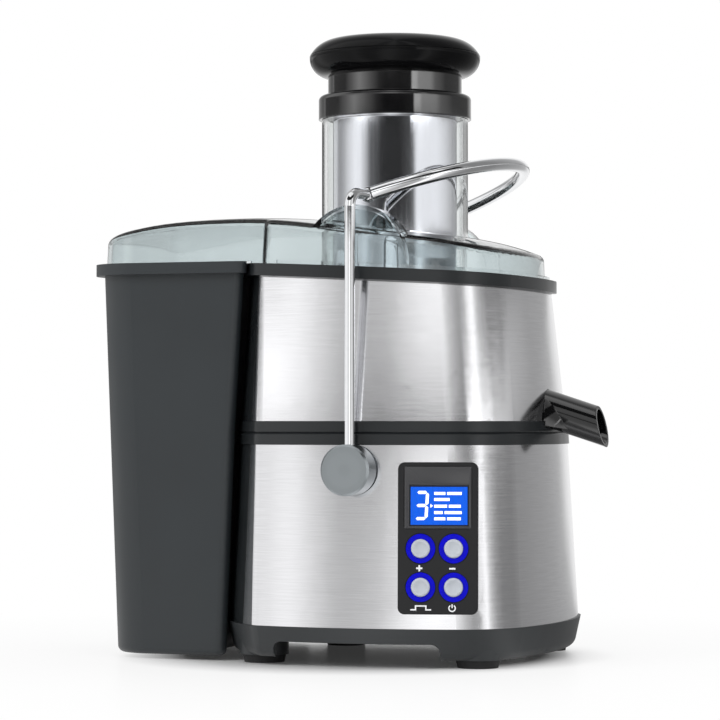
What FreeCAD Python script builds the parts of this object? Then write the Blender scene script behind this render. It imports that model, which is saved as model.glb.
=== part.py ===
import FreeCAD, Part
import math
import os

from FreeCAD import Matrix, Placement, Rotation, Vector

# Lengths are millimetres and angles are degrees.
# Every piece is drawn about the drive axis, with -Y to the front and +X towards the spout.

# Heights above the table
FOOT_HEIGHT = 4.7
BASE_TOP = 23.3
DECK_SEAM = 137.0
BAND_HEIGHT = 7.0
RIM_Z = 235.3
RIM_HEIGHT = 7.3
RIM_TILT = 3.0
CHUTE_BOTTOM = 184.0
CHUTE_TOP = 329.4
PUSHER_TOP = 381.2

# Plan of the body at the base, at the deck seam and at the rim
BASE_REACH = 108.0
SEAM_REACH = 101.0
RIM_REACH = 90.0
BASE_DEPTH = 104.0
SEAM_DEPTH = 98.0
RIM_DEPTH = 88.0
BASE_LEFT = 99.0
SEAM_LEFT = 93.0
RIM_LEFT = 86.0
SIDE_RADIUS = 230.0
CORNER_RADIUS = 45.0
LEFT_RADIUS = 129.0
LEFT_CORNER = 12.0

# Walls, skins and overhangs
STEEL = 0.8
STEEL_GAP = 0.15
WALL = 2.4
STEEL_END = 58.0
STEEL_END_LEAN = 2.2
BAND_PROUD = 0.9
BAND_CHAMFER = 0.8
RIM_OVERHANG = 4.6
TRAY_LIP = 1.6
TRAY_WALL = 4.0
TRAY_INSET = 2.5
TRAY_ROUND = 6.0
TRAY_FLOOR_Z = 15.6
PLATE = 3.0
ARCH_LEFT = 42.0
ARCH_RIGHT = 60.0
ARCH_TOP = 14.3
ARCH_ROUND = 5.0
FIT = 0.15
SEAT = 0.25

# Feet and base screws
FOOT_RADIUS = 13.0
FOOT_STEM = 4.0
FOOT_FRONT = 72.0
FOOT_RIGHT = 76.0
FOOT_LEFT = 58.0
PILLAR_RADIUS = 6.0
PILLAR_DEPTH = 50.0
PILLAR_RIGHT = 72.0
PILLAR_LEFT = 54.0
SCREW_RADIUS = 2.0
SCREW_HEAD = 4.0
SCREW_GRIP = 14.0

# Bowl
BOWL_FLOOR = 4.0
BOWL_COLLAR_RADIUS = 22.0
BOWL_COLLAR_HEIGHT = 15.0

# Spout
SPOUT_RADIUS = 11.0
SPOUT_WALL = 1.8
SPOUT_SLOPE = 18.0
SPOUT_ROOT_Z = 150.7
SPOUT_TIP = 134.5
SPOUT_CUT = 12.0
GUSSET_WIDTH = 40.0
GUSSET_LENGTH = 15.0

# Pulp bin
BIN_FLOOR_Z = 2.7
BIN_RIM_RISE = 4.5
BIN_TOP_REACH = 169.5
BIN_TOP_DEPTH = 79.0
BIN_FLOOR_REACH = 161.0
BIN_FLOOR_DEPTH = 76.5
BIN_CORNER = 26.0
BIN_TIP_ROUND = 5.0
BIN_TOP_GAP = 6.0
BIN_FLOOR_GAP = 3.2
BIN_WALL = 2.2
BIN_LIP = 5.0
BIN_LIP_HEIGHT = 7.0
BIN_FLOOR_ROUND = 4.0

# Lid
LID_WALL = 2.6
LID_INSET = 2.0
LID_END_OVER = 1.0
LID_END_SIDE = 3.5
LID_BIN_GAP = 0.4
LID_DRAFT = 3.0
LID_CROWN = 700.0
LID_ROUND = 5.0
LID_FLANGE = 2.2
LID_SKIRT = 3.0
LID_SKIRT_START = 6.0
LID_FLANGE_START = -46.0
LID_JOIN_X = -66.0
EAR_RADIUS = 34.0
EAR_RISE = 36.7
EAR_X = 3.0
EAR_INSET = 5.6
EAR_THICK = 12.0

# Feed chute and pusher
CHUTE_RADIUS = 45.0
CHUTE_WALL = 3.0
SLEEVE_RADIUS = 38.2
SLEEVE_WALL = 0.8
PUSHER_FIT = 0.5
FOOT_RISE = 2.0
FOOT_PLUG = 6.0
COLLAR_RADIUS = 47.1
COLLAR_HEIGHT = 14.8
NECK_RADIUS = 41.3
NECK_HEIGHT = 11.6
KNOB_RADIUS = 52.7

# Locking arm
PIVOT_X = 8.0
PIVOT_Z = 115.4
CAP_RADIUS = 15.0
CAP_THICK = 13.8
CAP_GAP = 0.4
PIN_RADIUS = 5.0
PIN_FIT = 0.06
BUSH_WALL = 2.5
BUSH_LENGTH = 11.0
CAM_RADIUS = 8.0
CAM_THICK = 5.0
LOBE_WIDTH = 6.0
LOBE_HEIGHT = 13.0
SWITCH_LENGTH = 22.5
SWITCH_HEIGHT = 8.0
ROD_RADIUS = 3.25
ROD_WALL = 0.62
ROD_OVER_EAR = 5.5
ROD_BEND = 8.0
HANDLE_RADIUS = 4.0
KNUCKLE_RADIUS = 4.7
HANDLE_X = 12.3
HANDLE_INSET = 20.2
HANDLE_TIP = 78.5
HANDLE_RISE = 18.4

# Control panel, on the convex front to the right of the arm
PANEL_X = 58.5
PANEL_Z = 76.0
PANEL_WIDTH = 46.5
PANEL_HEIGHT = 88.0
PANEL_CORNER = 4.0
PANEL_PROUD = 0.8
PANEL_BACK = 4.6
PANEL_EDGE = 3.4
PANEL_POST = 2.5
LENS_WIDTH = 39.0
LENS_HEIGHT = 36.0
LENS_V = 23.6
LENS_THICK = 1.2
LCD_WIDTH = 33.0
LCD_HEIGHT = 22.0
LCD_U = 0.6
LCD_V = 18.8
BUTTON_RADIUS = 5.5
RING_RADIUS = 8.5
BUTTON_PROUD = 1.9
BUTTON_TRAVEL = 1.5
BUTTON_LEFT = -10.0
BUTTON_RIGHT = 9.2
BUTTON_HIGH = -6.0
BUTTON_LOW = -28.4
BOARD_THICK = 1.6

# Motor
SHAFT_RADIUS = 4.0
SHAFT_BOTTOM = 32.0
BEARING_RADIUS = 11.0
BEARING_HEIGHT = 7.0
BEARING_FIT = 0.05
BRACKET_BOTTOM_Z = 30.0
BRACKET_TOP_Z = 116.0
BRACKET_PLATE = 4.0
STATOR_RADIUS = 50.0
STATOR_BORE = 25.6
STATOR_Z = 58.0
STATOR_HEIGHT = 38.0
AIR_GAP = 0.6
COIL_RADIUS = 41.0
COIL_BORE = 28.0
COIL_HEIGHT = 5.0
WINDING_RADIUS = 20.0
WINDING_HEIGHT = 5.0
BOLT_CIRCLE = 46.5
BOLT_RADIUS = 2.0
DAMPER_CIRCLE = 42.0
DAMPER_RADIUS = 6.0
DAMPER_HEIGHT = 6.0
FAN_RADIUS = 40.0
FAN_Z = 44.0
FAN_HEIGHT = 7.0
FAN_BLADES = 12
COMMUTATOR_RADIUS = 12.0
GLAND_X = -20.0
GLAND_Z = 42.0
GLAND_RADIUS = 6.0
CORD_BORE = 3.6
GLAND_LENGTH = 15.0

# Drive coupling, filter basket and grater
COUPLING_RADIUS = 11.0
COUPLING_LOBES = 6
COUPLING_HEIGHT = 12.0
HUB_RADIUS = 17.5
HUB_RIB = 1.6
HUB_RIBS = 8
GRATER_Z = 175.0
GRATER_RADIUS = 50.0
TOOTH_HEIGHT = 2.0
BASKET_FLOOR_RADIUS = 54.0
BASKET_RIM_RADIUS = 76.0
BASKET_DROP = 11.3
BASKET_WALL = 0.9
SLOT_COUNT = 36
SLOT_WIDTH = 1.6

SKIN = STEEL + STEEL_GAP
DECK_Z = DECK_SEAM - BAND_HEIGHT
BOWL_BAND_TOP = DECK_SEAM + BAND_HEIGHT
BIN_RIM_Z = RIM_Z + BIN_RIM_RISE
BASKET_RIM_Z = RIM_Z - BASKET_DROP
EAR_TOP = RIM_Z + EAR_RISE
ROD_TOP = EAR_TOP + ROD_OVER_EAR
AXIS_X = (BIN_TOP_REACH + BIN_LIP - SPOUT_TIP) / 2
SPAN = 400.0


# Shared shapes

def cylinder(radius, low, high, x=0.0, y=0.0):
    return Part.makeCylinder(radius, high - low, Vector(x, y, low))


def ring(outer, inner, low, high, x=0.0, y=0.0):
    return cylinder(outer, low, high, x, y).cut(cylinder(inner, low, high, x, y))


def rod_y(radius, start, end, x, z):
    """Round bar along Y from start to end."""
    return Part.makeCylinder(radius, end - start, Vector(x, start, z), Vector(0, 1, 0))


def block(low, high):
    """Box between two opposite corners."""
    size = high - low
    return Part.makeBox(size.x, size.y, size.z, low)


def fuse_all(shapes):
    return shapes[0].multiFuse(shapes[1:]).removeSplitter()


def both_sides(shape):
    """The shape with its mirror image at the back."""
    return Part.makeCompound([shape, shape.mirror(Vector(), Vector(0, 1, 0))])


def turned(points):
    """Solid of revolution about Z from a closed list of (radius, height) corners."""
    corners = [Vector(radius, 0, height) for radius, height in points]
    face = Part.Face(Part.makePolygon(corners + corners[:1]))
    return face.revolve(Vector(), Vector(0, 0, 1), 360)


def unit(vector):
    return vector * (1.0 / vector.Length)


def meet(first, first_radius, second, second_radius, side):
    """Crossing of two circles in plan; side +1 is left of the line from first to second."""
    gap = second - first
    along = (first_radius ** 2 - second_radius ** 2 + gap.Length ** 2) / (2 * gap.Length)
    across = math.sqrt(first_radius ** 2 - along ** 2)
    ahead = unit(gap)
    return first + ahead * along + Vector(-ahead.y, ahead.x, 0) * (across * side)


def flip(point):
    """Mirror image of a plan point at the back."""
    return Vector(point.x, -point.y, 0)


def arc_about(centre, start, end):
    """Arc of under a half circle about a centre."""
    radius = (start - centre).Length
    middle = centre + unit(start + end - centre * 2) * radius
    return Part.Arc(start, middle, end)


# Body plan: four large arcs with rounded corners, tapering upwards

def at_level(z, base, seam, rim):
    """Size of the plan at a height, straight from base to seam and from seam to rim."""
    if z <= DECK_SEAM:
        return base + (seam - base) * (z - BASE_TOP) / (DECK_SEAM - BASE_TOP)
    return seam + (rim - seam) * (z - DECK_SEAM) / (RIM_Z - DECK_SEAM)


def reach_at(z):
    return at_level(z, BASE_REACH, SEAM_REACH, RIM_REACH)


def depth_at(z):
    return at_level(z, BASE_DEPTH, SEAM_DEPTH, RIM_DEPTH)


def left_at(z):
    return at_level(z, BASE_LEFT, SEAM_LEFT, RIM_LEFT)


def front_y(x, z):
    """Front face of the body at a place along X and a height."""
    return SIDE_RADIUS - depth_at(z) - math.sqrt(SIDE_RADIUS ** 2 - x ** 2)


def plan_wire(z, inset, size_z=None):
    """Outline of the body at a height, moved inwards by inset, with the plan of size_z."""
    size_z = z if size_z is None else size_z
    front = Vector(0, SIDE_RADIUS - depth_at(size_z), 0)
    side = Vector(reach_at(size_z) - SIDE_RADIUS, 0, 0)
    left = Vector(LEFT_RADIUS - left_at(size_z), 0, 0)
    inner = SIDE_RADIUS - CORNER_RADIUS
    right_corner = meet(front, inner, side, inner, 1)
    left_corner = meet(front, SIDE_RADIUS - LEFT_CORNER, left, LEFT_RADIUS - LEFT_CORNER, -1)
    a = left + unit(left_corner - left) * (LEFT_RADIUS - inset)
    b = front + unit(left_corner - front) * (SIDE_RADIUS - inset)
    c = front + unit(right_corner - front) * (SIDE_RADIUS - inset)
    d = side + unit(right_corner - side) * (SIDE_RADIUS - inset)
    edges = [
        arc_about(left, flip(a), a),
        arc_about(left_corner, a, b),
        arc_about(front, b, c),
        arc_about(right_corner, c, d),
        arc_about(side, d, flip(d)),
        arc_about(flip(right_corner), flip(d), flip(c)),
        arc_about(flip(front), flip(c), flip(b)),
        arc_about(flip(left_corner), flip(b), flip(a)),
    ]
    wire = Part.Wire([edge.toShape() for edge in edges])
    wire.translate(Vector(0, 0, z))
    return wire


def plan_solid(low, high, inset):
    """The body's tapered form between two heights, moved inwards by inset."""
    return Part.makeLoft([plan_wire(low, inset), plan_wire(high, inset)], True, True)


def plan_prism(low, high, inset, size_z):
    """A straight-sided form with the plan of one height."""
    bottom = Part.Face(plan_wire(low, inset, size_z))
    return bottom.extrude(Vector(0, 0, high - low))


def band_solid(edge, seam):
    """Proud band between its plain edge and the seam, where it is chamfered."""
    shoulder = seam + math.copysign(BAND_CHAMFER, edge - seam)
    straight = [plan_wire(z, -BAND_PROUD) for z in sorted((edge, shoulder))]
    sloped = sorted([(shoulder, -BAND_PROUD), (seam, BAND_CHAMFER - BAND_PROUD)])
    lofts = [straight, [plan_wire(z, inset) for z, inset in sloped]]
    return fuse_all([Part.makeLoft(wires, True, True) for wires in lofts])


def rim_slab(low, high):
    """Everything between two planes along the tilted rim, measured from the rim's top."""
    slab = block(Vector(-SPAN, -SPAN, RIM_Z + low), Vector(SPAN, SPAN, RIM_Z + high))
    slab.rotate(Vector(0, 0, RIM_Z), Vector(0, 1, 0), RIM_TILT)
    return slab


def steel_side():
    """The part of the body that the steel wraps cover, right of their leaning left ends."""
    side = block(Vector(-STEEL_END, -SPAN, 0), Vector(SPAN, SPAN, SPAN))
    side.rotate(Vector(-STEEL_END, 0, RIM_Z), Vector(0, 1, 0), STEEL_END_LEAN)
    return side


# Control panel frame: u to the right along the panel, v up it and n out of it

def panel_matrix():
    yaw = math.asin(PANEL_X / SIDE_RADIUS)
    lean = math.atan2(BASE_DEPTH - SEAM_DEPTH, DECK_SEAM - BASE_TOP)
    n = Vector(math.sin(yaw) * math.cos(lean), -math.cos(yaw) * math.cos(lean), math.sin(lean))
    u = Vector(math.cos(yaw), math.sin(yaw), 0)
    v = n.cross(u)
    return Matrix(u.x, v.x, n.x, PANEL_X, u.y, v.y, n.y, front_y(PANEL_X, PANEL_Z),
                  u.z, v.z, n.z, PANEL_Z, 0, 0, 0, 1)


def on_panel(shape):
    """Moves a shape drawn in u, v and n onto the front of the body."""
    shape.Placement = Placement(panel_matrix())
    return shape


def plate(width, height, low, high, corner, u=0.0, v=0.0):
    """Rectangular plate with rounded corners in the panel frame."""
    slab = Part.makeBox(width, height, high - low, Vector(u - width / 2, v - height / 2, low))
    upright = [edge for edge in slab.Edges if abs(edge.tangentAt(edge.FirstParameter).z) > 0.9]
    return slab.makeFillet(corner, upright) if corner else slab


BUTTONS = {
    "button_plus": (BUTTON_LEFT, BUTTON_HIGH),
    "button_minus": (BUTTON_RIGHT, BUTTON_HIGH),
    "button_pulse": (BUTTON_LEFT, BUTTON_LOW),
    "button_power": (BUTTON_RIGHT, BUTTON_LOW),
}
BUTTON_STEM_BACK = PANEL_BACK + 1.2
BOARD_FRONT = -(BUTTON_STEM_BACK + BUTTON_TRAVEL + 0.5)


def panel_cutter():
    return on_panel(plate(PANEL_WIDTH + 2 * FIT, PANEL_HEIGHT + 2 * FIT, -PANEL_BACK - 1, 6, PANEL_CORNER))


def panel_recess_cutter():
    width = PANEL_WIDTH - 2 * PANEL_EDGE
    height = PANEL_HEIGHT - 2 * PANEL_EDGE
    return on_panel(plate(width, height, -12, 6, PANEL_CORNER))


def control_panel():
    face = plate(PANEL_WIDTH, PANEL_HEIGHT, -PANEL_BACK, PANEL_PROUD, PANEL_CORNER)
    face = on_panel(face).cut(plan_solid(BASE_TOP, DECK_SEAM, SKIN))
    inner_width = PANEL_WIDTH - 2 * PANEL_EDGE - 2 * FIT
    inner_height = PANEL_HEIGHT - 2 * PANEL_EDGE - 2 * FIT
    core = on_panel(plate(inner_width, inner_height, -PANEL_BACK, PANEL_PROUD, PANEL_CORNER))
    posts = []
    for u in (-1, 1):
        for v in (-1, 1):
            across = u * (inner_width / 2 - PANEL_POST - 0.5)
            up = v * (inner_height / 2 - PANEL_POST - 0.5)
            posts.append(on_panel(cylinder(PANEL_POST, BOARD_FRONT, -PANEL_BACK, across, up)))
    panel = fuse_all([face, core] + posts)
    lens = plate(LENS_WIDTH + 2 * FIT, LENS_HEIGHT + 2 * FIT, PANEL_PROUD - LENS_THICK, 6, 2, 0, LENS_V)
    lcd = plate(LCD_WIDTH + 2 * FIT, LCD_HEIGHT + 2 * FIT, -12, 6, 0, LCD_U, LCD_V)
    panel = panel.cut([on_panel(lens), on_panel(lcd)])
    for u, v in BUTTONS.values():
        seat = cylinder(RING_RADIUS + FIT, PANEL_PROUD - LENS_THICK, 6, u, v)
        bore = cylinder(BUTTON_RADIUS + FIT, -12, 6, u, v)
        panel = panel.cut([on_panel(seat), on_panel(bore)])
    return panel


def display_lens():
    lens = plate(LENS_WIDTH, LENS_HEIGHT, PANEL_PROUD - LENS_THICK, PANEL_PROUD + 0.3, 2, 0, LENS_V)
    window = plate(LCD_WIDTH + 2 * FIT, LCD_HEIGHT + 2 * FIT, -6, 6, 0, LCD_U, LCD_V)
    return on_panel(lens.cut(window))


def lcd_module():
    return on_panel(plate(LCD_WIDTH, LCD_HEIGHT, BOARD_FRONT, PANEL_PROUD, 0, LCD_U, LCD_V))


def button_rings():
    rings = []
    for u, v in BUTTONS.values():
        low = PANEL_PROUD - LENS_THICK
        rings.append(on_panel(ring(RING_RADIUS, BUTTON_RADIUS + FIT, low, PANEL_PROUD + 0.4, u, v)))
    return Part.makeCompound(rings)


def button(u, v):
    """Push button with a shallow dished cap and a retaining flange behind the panel."""
    cap = cylinder(BUTTON_RADIUS, -BUTTON_STEM_BACK, PANEL_PROUD + BUTTON_PROUD, u, v)
    rim = [edge for edge in cap.Edges if abs(edge.CenterOfMass.z - PANEL_PROUD - BUTTON_PROUD) < 1e-6]
    cap = cap.makeFillet(0.9, rim[:1])
    flange = cylinder(BUTTON_RADIUS + 1.2, -BUTTON_STEM_BACK, -PANEL_BACK - SEAT, u, v)
    return on_panel(cap.fuse(flange))


def control_board():
    width = PANEL_WIDTH - 2 * PANEL_EDGE - 2
    height = PANEL_HEIGHT - 2 * PANEL_EDGE - 2
    board = plate(width, height, BOARD_FRONT - BOARD_THICK, BOARD_FRONT, 1)
    switches = [cylinder(2.6, BOARD_FRONT, BOARD_FRONT + 0.3, u, v) for u, v in BUTTONS.values()]
    return on_panel(fuse_all([board] + switches))


# Motor base

FEET = [(FOOT_RIGHT, 1), (FOOT_RIGHT, -1), (-FOOT_LEFT, 1), (-FOOT_LEFT, -1)]
PILLARS = [(PILLAR_RIGHT, 1), (PILLAR_RIGHT, -1), (-PILLAR_LEFT, 1), (-PILLAR_LEFT, -1)]


def tray_wire(z, inset):
    return plan_wire(z, inset, BASE_TOP)


def arch_cutter():
    """Rounded opening through the front skirt of the tray."""
    slot = block(Vector(-ARCH_LEFT, -SPAN, -ARCH_TOP), Vector(ARCH_RIGHT, -BASE_DEPTH / 2, ARCH_TOP))
    corners = [edge for edge in slot.Edges
               if abs(edge.tangentAt(edge.FirstParameter).y) > 0.9 and edge.CenterOfMass.z > 0]
    return slot.makeFillet(ARCH_ROUND, corners)


def base_tray():
    outer = Part.makeLoft([tray_wire(FOOT_HEIGHT, TRAY_INSET),
                           tray_wire(BASE_TOP, -TRAY_LIP)], True, True)
    under = [edge for edge in outer.Edges if abs(edge.BoundBox.ZMax - FOOT_HEIGHT) < 1e-4]
    outer = outer.makeFillet(TRAY_ROUND, under)
    below = Part.makeLoft([tray_wire(0, TRAY_INSET + TRAY_WALL),
                           tray_wire(TRAY_FLOOR_Z, TRAY_WALL)], True, True)
    above = plan_prism(TRAY_FLOOR_Z + PLATE, BASE_TOP + 1, TRAY_WALL, BASE_TOP)
    tray = outer.cut([below, above, arch_cutter()])
    bosses = []
    holes = []
    for x, side in FEET:
        y = side * FOOT_FRONT
        bosses.append(cylinder(FOOT_RADIUS + 1.5, FOOT_HEIGHT, TRAY_FLOOR_Z + PLATE / 2, x, y))
        holes.append(cylinder(FOOT_STEM + FIT, 0, TRAY_FLOOR_Z, x, y))
    for x, side in PILLARS:
        y = side * PILLAR_DEPTH
        holes.append(cylinder(SCREW_RADIUS + FIT, 0, BASE_TOP, x, y))
    for step in range(-2, 3):
        low = Vector(-30, step * 14.0 - 3, TRAY_FLOOR_Z - 1)
        holes.append(block(low, low + Vector(60, 6, PLATE + 2)))
    tray = fuse_all([tray] + bosses)
    return tray.cut(holes)


def rubber_feet():
    feet = []
    for x, side in FEET:
        y = side * FOOT_FRONT
        pad = Part.makeCone(FOOT_RADIUS - 1, FOOT_RADIUS, FOOT_HEIGHT, Vector(x, y, 0))
        feet.append(pad.fuse(cylinder(FOOT_STEM, FOOT_HEIGHT, TRAY_FLOOR_Z - 2, x, y)))
    return Part.makeCompound(feet)


def base_screws():
    screws = []
    for x, side in PILLARS:
        y = side * PILLAR_DEPTH
        head = cylinder(SCREW_HEAD, TRAY_FLOOR_Z - 2.5, TRAY_FLOOR_Z, x, y)
        screws.append(head.fuse(cylinder(SCREW_RADIUS, TRAY_FLOOR_Z, TRAY_FLOOR_Z + SCREW_GRIP, x, y)))
    return Part.makeCompound(screws)


def pivot_holes(radius):
    return [rod_y(radius, -SPAN, -SEAM_DEPTH / 2, PIVOT_X, PIVOT_Z),
            rod_y(radius, SEAM_DEPTH / 2, SPAN, PIVOT_X, PIVOT_Z)]


def gland_hole():
    return rod_y(GLAND_RADIUS + FIT, SEAM_DEPTH / 2, SPAN, GLAND_X, GLAND_Z)


def base_cavity(extra=0.0):
    """Space inside the motor housing, moved inwards by extra."""
    return plan_solid(BASE_TOP - 1, DECK_SEAM - PLATE, SKIN + WALL + extra)


def motor_housing():
    """Casing behind the steel, with the bin-side wall, the deck and its outer band."""
    casing = plan_solid(BASE_TOP, DECK_SEAM, SKIN)
    bin_side = plan_solid(BASE_TOP, DECK_SEAM, 0).cut(steel_side())
    band = band_solid(DECK_Z, DECK_SEAM)
    housing = fuse_all([casing, bin_side, band]).cut(base_cavity())
    pillars = []
    for x, side in PILLARS:
        y = side * PILLAR_DEPTH
        pillars.append(cylinder(PILLAR_RADIUS, TRAY_FLOOR_Z + PLATE, DECK_SEAM - PLATE / 2, x, y))
    for turn in range(4):
        spot = Rotation(Vector(0, 0, 1), 45 + 90 * turn).multVec(Vector(DAMPER_CIRCLE, 0, 0))
        low = BRACKET_TOP_Z + BRACKET_PLATE + DAMPER_HEIGHT
        pillars.append(cylinder(DAMPER_RADIUS, low, DECK_SEAM - PLATE / 2, spot.x, spot.y))
    housing = fuse_all([housing] + pillars)
    cuts = pivot_holes(PIN_RADIUS + BUSH_WALL) + [gland_hole(), panel_recess_cutter()]
    cuts.append(cylinder(BEARING_RADIUS, DECK_Z, DECK_SEAM + 1))
    for x, side in PILLARS:
        cuts.append(cylinder(SCREW_RADIUS + FIT, 0, TRAY_FLOOR_Z + SCREW_GRIP + 2, x, side * PILLAR_DEPTH))
    return housing.cut(cuts)


def lower_steel_wrap():
    skin = plan_solid(BASE_TOP, DECK_Z, 0).cut(plan_solid(BASE_TOP, DECK_Z, STEEL))
    cuts = pivot_holes(PIN_RADIUS + BUSH_WALL) + [gland_hole(), panel_cutter()]
    return skin.common(steel_side()).cut(cuts)


def shaft_seal():
    return ring(BEARING_RADIUS, SHAFT_RADIUS + PIN_FIT, DECK_SEAM - PLATE, DECK_SEAM)


def pivot_bushes():
    outer = front_y(PIVOT_X, PIVOT_Z)
    bush = rod_y(PIN_RADIUS + BUSH_WALL, outer, outer + BUSH_LENGTH, PIVOT_X, PIVOT_Z)
    bore = rod_y(PIN_RADIUS + PIN_FIT, outer - 1, outer + BUSH_LENGTH + 1, PIVOT_X, PIVOT_Z)
    return both_sides(bush.cut(bore))


def cord_gland():
    """Moulded bush that a mains cord would pass through."""
    wall = -front_y(GLAND_X, GLAND_Z)
    body = rod_y(GLAND_RADIUS, wall + 4 - GLAND_LENGTH, wall + 4, GLAND_X, GLAND_Z)
    flange = rod_y(GLAND_RADIUS + 3, wall - 2, wall + 4, GLAND_X, GLAND_Z)
    flange = flange.cut(plan_solid(BASE_TOP, DECK_SEAM, 0))
    bore = rod_y(CORD_BORE, 0, SPAN, GLAND_X, GLAND_Z)
    return body.fuse(flange).cut(bore)


def speed_board():
    low = TRAY_FLOOR_Z + PLATE
    board = block(Vector(54, -34, low + 4), Vector(92, 34, low + 4 + BOARD_THICK))
    heat_sink = block(Vector(60, -28, low + 4), Vector(84, -8, low + 24))
    capacitor = cylinder(8, low + 4, low + 28, 74, 8)
    choke = cylinder(7, low + 4, low + 16, 74, 25)
    legs = [cylinder(2.5, low, low + 5, x, y) for x in (58, 88) for y in (-30, 30)]
    return fuse_all([board, heat_sink, capacitor, choke] + legs)


def cam_face():
    """Front end of the interlock cam, behind the pivot bush and the pin's collar."""
    return front_y(PIVOT_X, PIVOT_Z) + BUSH_LENGTH + SEAT


def interlock_switch():
    """Microswitch on the inside of the front wall, beside the cam's upright lobe."""
    edge = PIVOT_X - LOBE_WIDTH / 2 - SEAT
    low = PIVOT_Z + CAM_RADIUS + 1
    back = cam_face() + CAM_THICK
    end = edge - 1.5
    case = block(Vector(end - SWITCH_LENGTH, -SPAN, low), Vector(end, back, low + SWITCH_HEIGHT))
    nib = block(Vector(end - 0.5, cam_face() + 1, low + 0.5),
                Vector(edge, back - 1, PIVOT_Z + LOBE_HEIGHT - 1))
    return case.fuse(nib).common(base_cavity(0.05))


# Motor, hung from the deck on rubber dampers

def bolt_spots():
    return [Rotation(Vector(0, 0, 1), 90 * turn).multVec(Vector(0, BOLT_CIRCLE, 0)) for turn in range(4)]


def bracket(plate_z, cup_low, cup_high, seat_low):
    """Motor end plate with a bearing cup; the bearing stands from seat_low to the cup's top."""
    disc = cylinder(STATOR_RADIUS, plate_z, plate_z + BRACKET_PLATE)
    cup = cylinder(BEARING_RADIUS + 2.5, cup_low, cup_high)
    windows = []
    for turn in range(4):
        spot = Rotation(Vector(0, 0, 1), 45 + 90 * turn).multVec(Vector(26, 0, 0))
        windows.append(cylinder(8, plate_z, plate_z + BRACKET_PLATE, spot.x, spot.y))
    windows.append(cylinder(BEARING_RADIUS + BEARING_FIT, seat_low, cup_high))
    windows.append(cylinder(SHAFT_RADIUS + 1, plate_z - 1, cup_high))
    for spot in bolt_spots():
        windows.append(cylinder(BOLT_RADIUS + FIT, plate_z, plate_z + BRACKET_PLATE, spot.x, spot.y))
    return disc.fuse(cup).cut(windows)


BEARING_LOW_Z = BRACKET_BOTTOM_Z + BRACKET_PLATE
BEARING_HIGH_Z = BRACKET_TOP_Z + 2


def motor_bracket_bottom():
    return bracket(BRACKET_BOTTOM_Z, BRACKET_BOTTOM_Z, BEARING_LOW_Z + BEARING_HEIGHT, BEARING_LOW_Z)


def motor_bracket_top():
    return bracket(BRACKET_TOP_Z, BRACKET_TOP_Z, BEARING_HIGH_Z + BEARING_HEIGHT, BEARING_HIGH_Z)


def bearing(low):
    return ring(BEARING_RADIUS, SHAFT_RADIUS + BEARING_FIT, low, low + BEARING_HEIGHT)


def motor_dampers():
    dampers = []
    for turn in range(4):
        spot = Rotation(Vector(0, 0, 1), 45 + 90 * turn).multVec(Vector(DAMPER_CIRCLE, 0, 0))
        low = BRACKET_TOP_Z + BRACKET_PLATE
        dampers.append(cylinder(DAMPER_RADIUS, low, low + DAMPER_HEIGHT, spot.x, spot.y))
    return Part.makeCompound(dampers)


def motor_bolts():
    bolts = []
    for spot in bolt_spots():
        head = cylinder(BOLT_RADIUS * 2, BRACKET_BOTTOM_Z - 3, BRACKET_BOTTOM_Z, spot.x, spot.y)
        stem = cylinder(BOLT_RADIUS, BRACKET_BOTTOM_Z, BRACKET_TOP_Z + BRACKET_PLATE + 1, spot.x, spot.y)
        spacer_low = cylinder(BOLT_RADIUS + 1.4, BRACKET_BOTTOM_Z + BRACKET_PLATE, STATOR_Z, spot.x, spot.y)
        spacer_high = cylinder(BOLT_RADIUS + 1.4, STATOR_Z + STATOR_HEIGHT, BRACKET_TOP_Z, spot.x, spot.y)
        bolts.append(fuse_all([head, stem, spacer_low, spacer_high]))
    return Part.makeCompound(bolts)


def stator_core():
    core = ring(STATOR_RADIUS, STATOR_BORE, STATOR_Z, STATOR_Z + STATOR_HEIGHT)
    return core.cut([cylinder(BOLT_RADIUS + FIT, 0, SPAN, spot.x, spot.y) for spot in bolt_spots()])


def field_coils():
    top = STATOR_Z + STATOR_HEIGHT
    upper = ring(COIL_RADIUS, COIL_BORE, top, top + COIL_HEIGHT)
    lower = ring(COIL_RADIUS, COIL_BORE, STATOR_Z - COIL_HEIGHT, STATOR_Z)
    return Part.makeCompound([upper, lower])


COMMUTATOR_Z = STATOR_Z + STATOR_HEIGHT + WINDING_HEIGHT + 1


def brush_holders():
    """Two brush boxes that hang from the top bracket against the commutator."""
    low = COMMUTATOR_Z + 3
    box = block(Vector(COMMUTATOR_RADIUS + SEAT, -5, low), Vector(38, 5, low + 7))
    hanger = block(Vector(30, -5, low), Vector(38, 5, BRACKET_TOP_Z))
    holder = box.fuse(hanger)
    return Part.makeCompound([holder, holder.mirror(Vector(), Vector(1, 0, 0))])


# Rotating drive

def motor_shaft():
    return cylinder(SHAFT_RADIUS, SHAFT_BOTTOM, DECK_SEAM + 2 + COUPLING_HEIGHT - 1)


def armature_core():
    return ring(STATOR_BORE - AIR_GAP, SHAFT_RADIUS, STATOR_Z, STATOR_Z + STATOR_HEIGHT)


def armature_winding():
    top = STATOR_Z + STATOR_HEIGHT
    upper = ring(WINDING_RADIUS, SHAFT_RADIUS, top, top + WINDING_HEIGHT)
    lower = ring(WINDING_RADIUS, SHAFT_RADIUS, STATOR_Z - WINDING_HEIGHT, STATOR_Z)
    return Part.makeCompound([upper, lower])


def commutator():
    return ring(COMMUTATOR_RADIUS, SHAFT_RADIUS, COMMUTATOR_Z, BRACKET_TOP_Z - 2)


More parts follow.
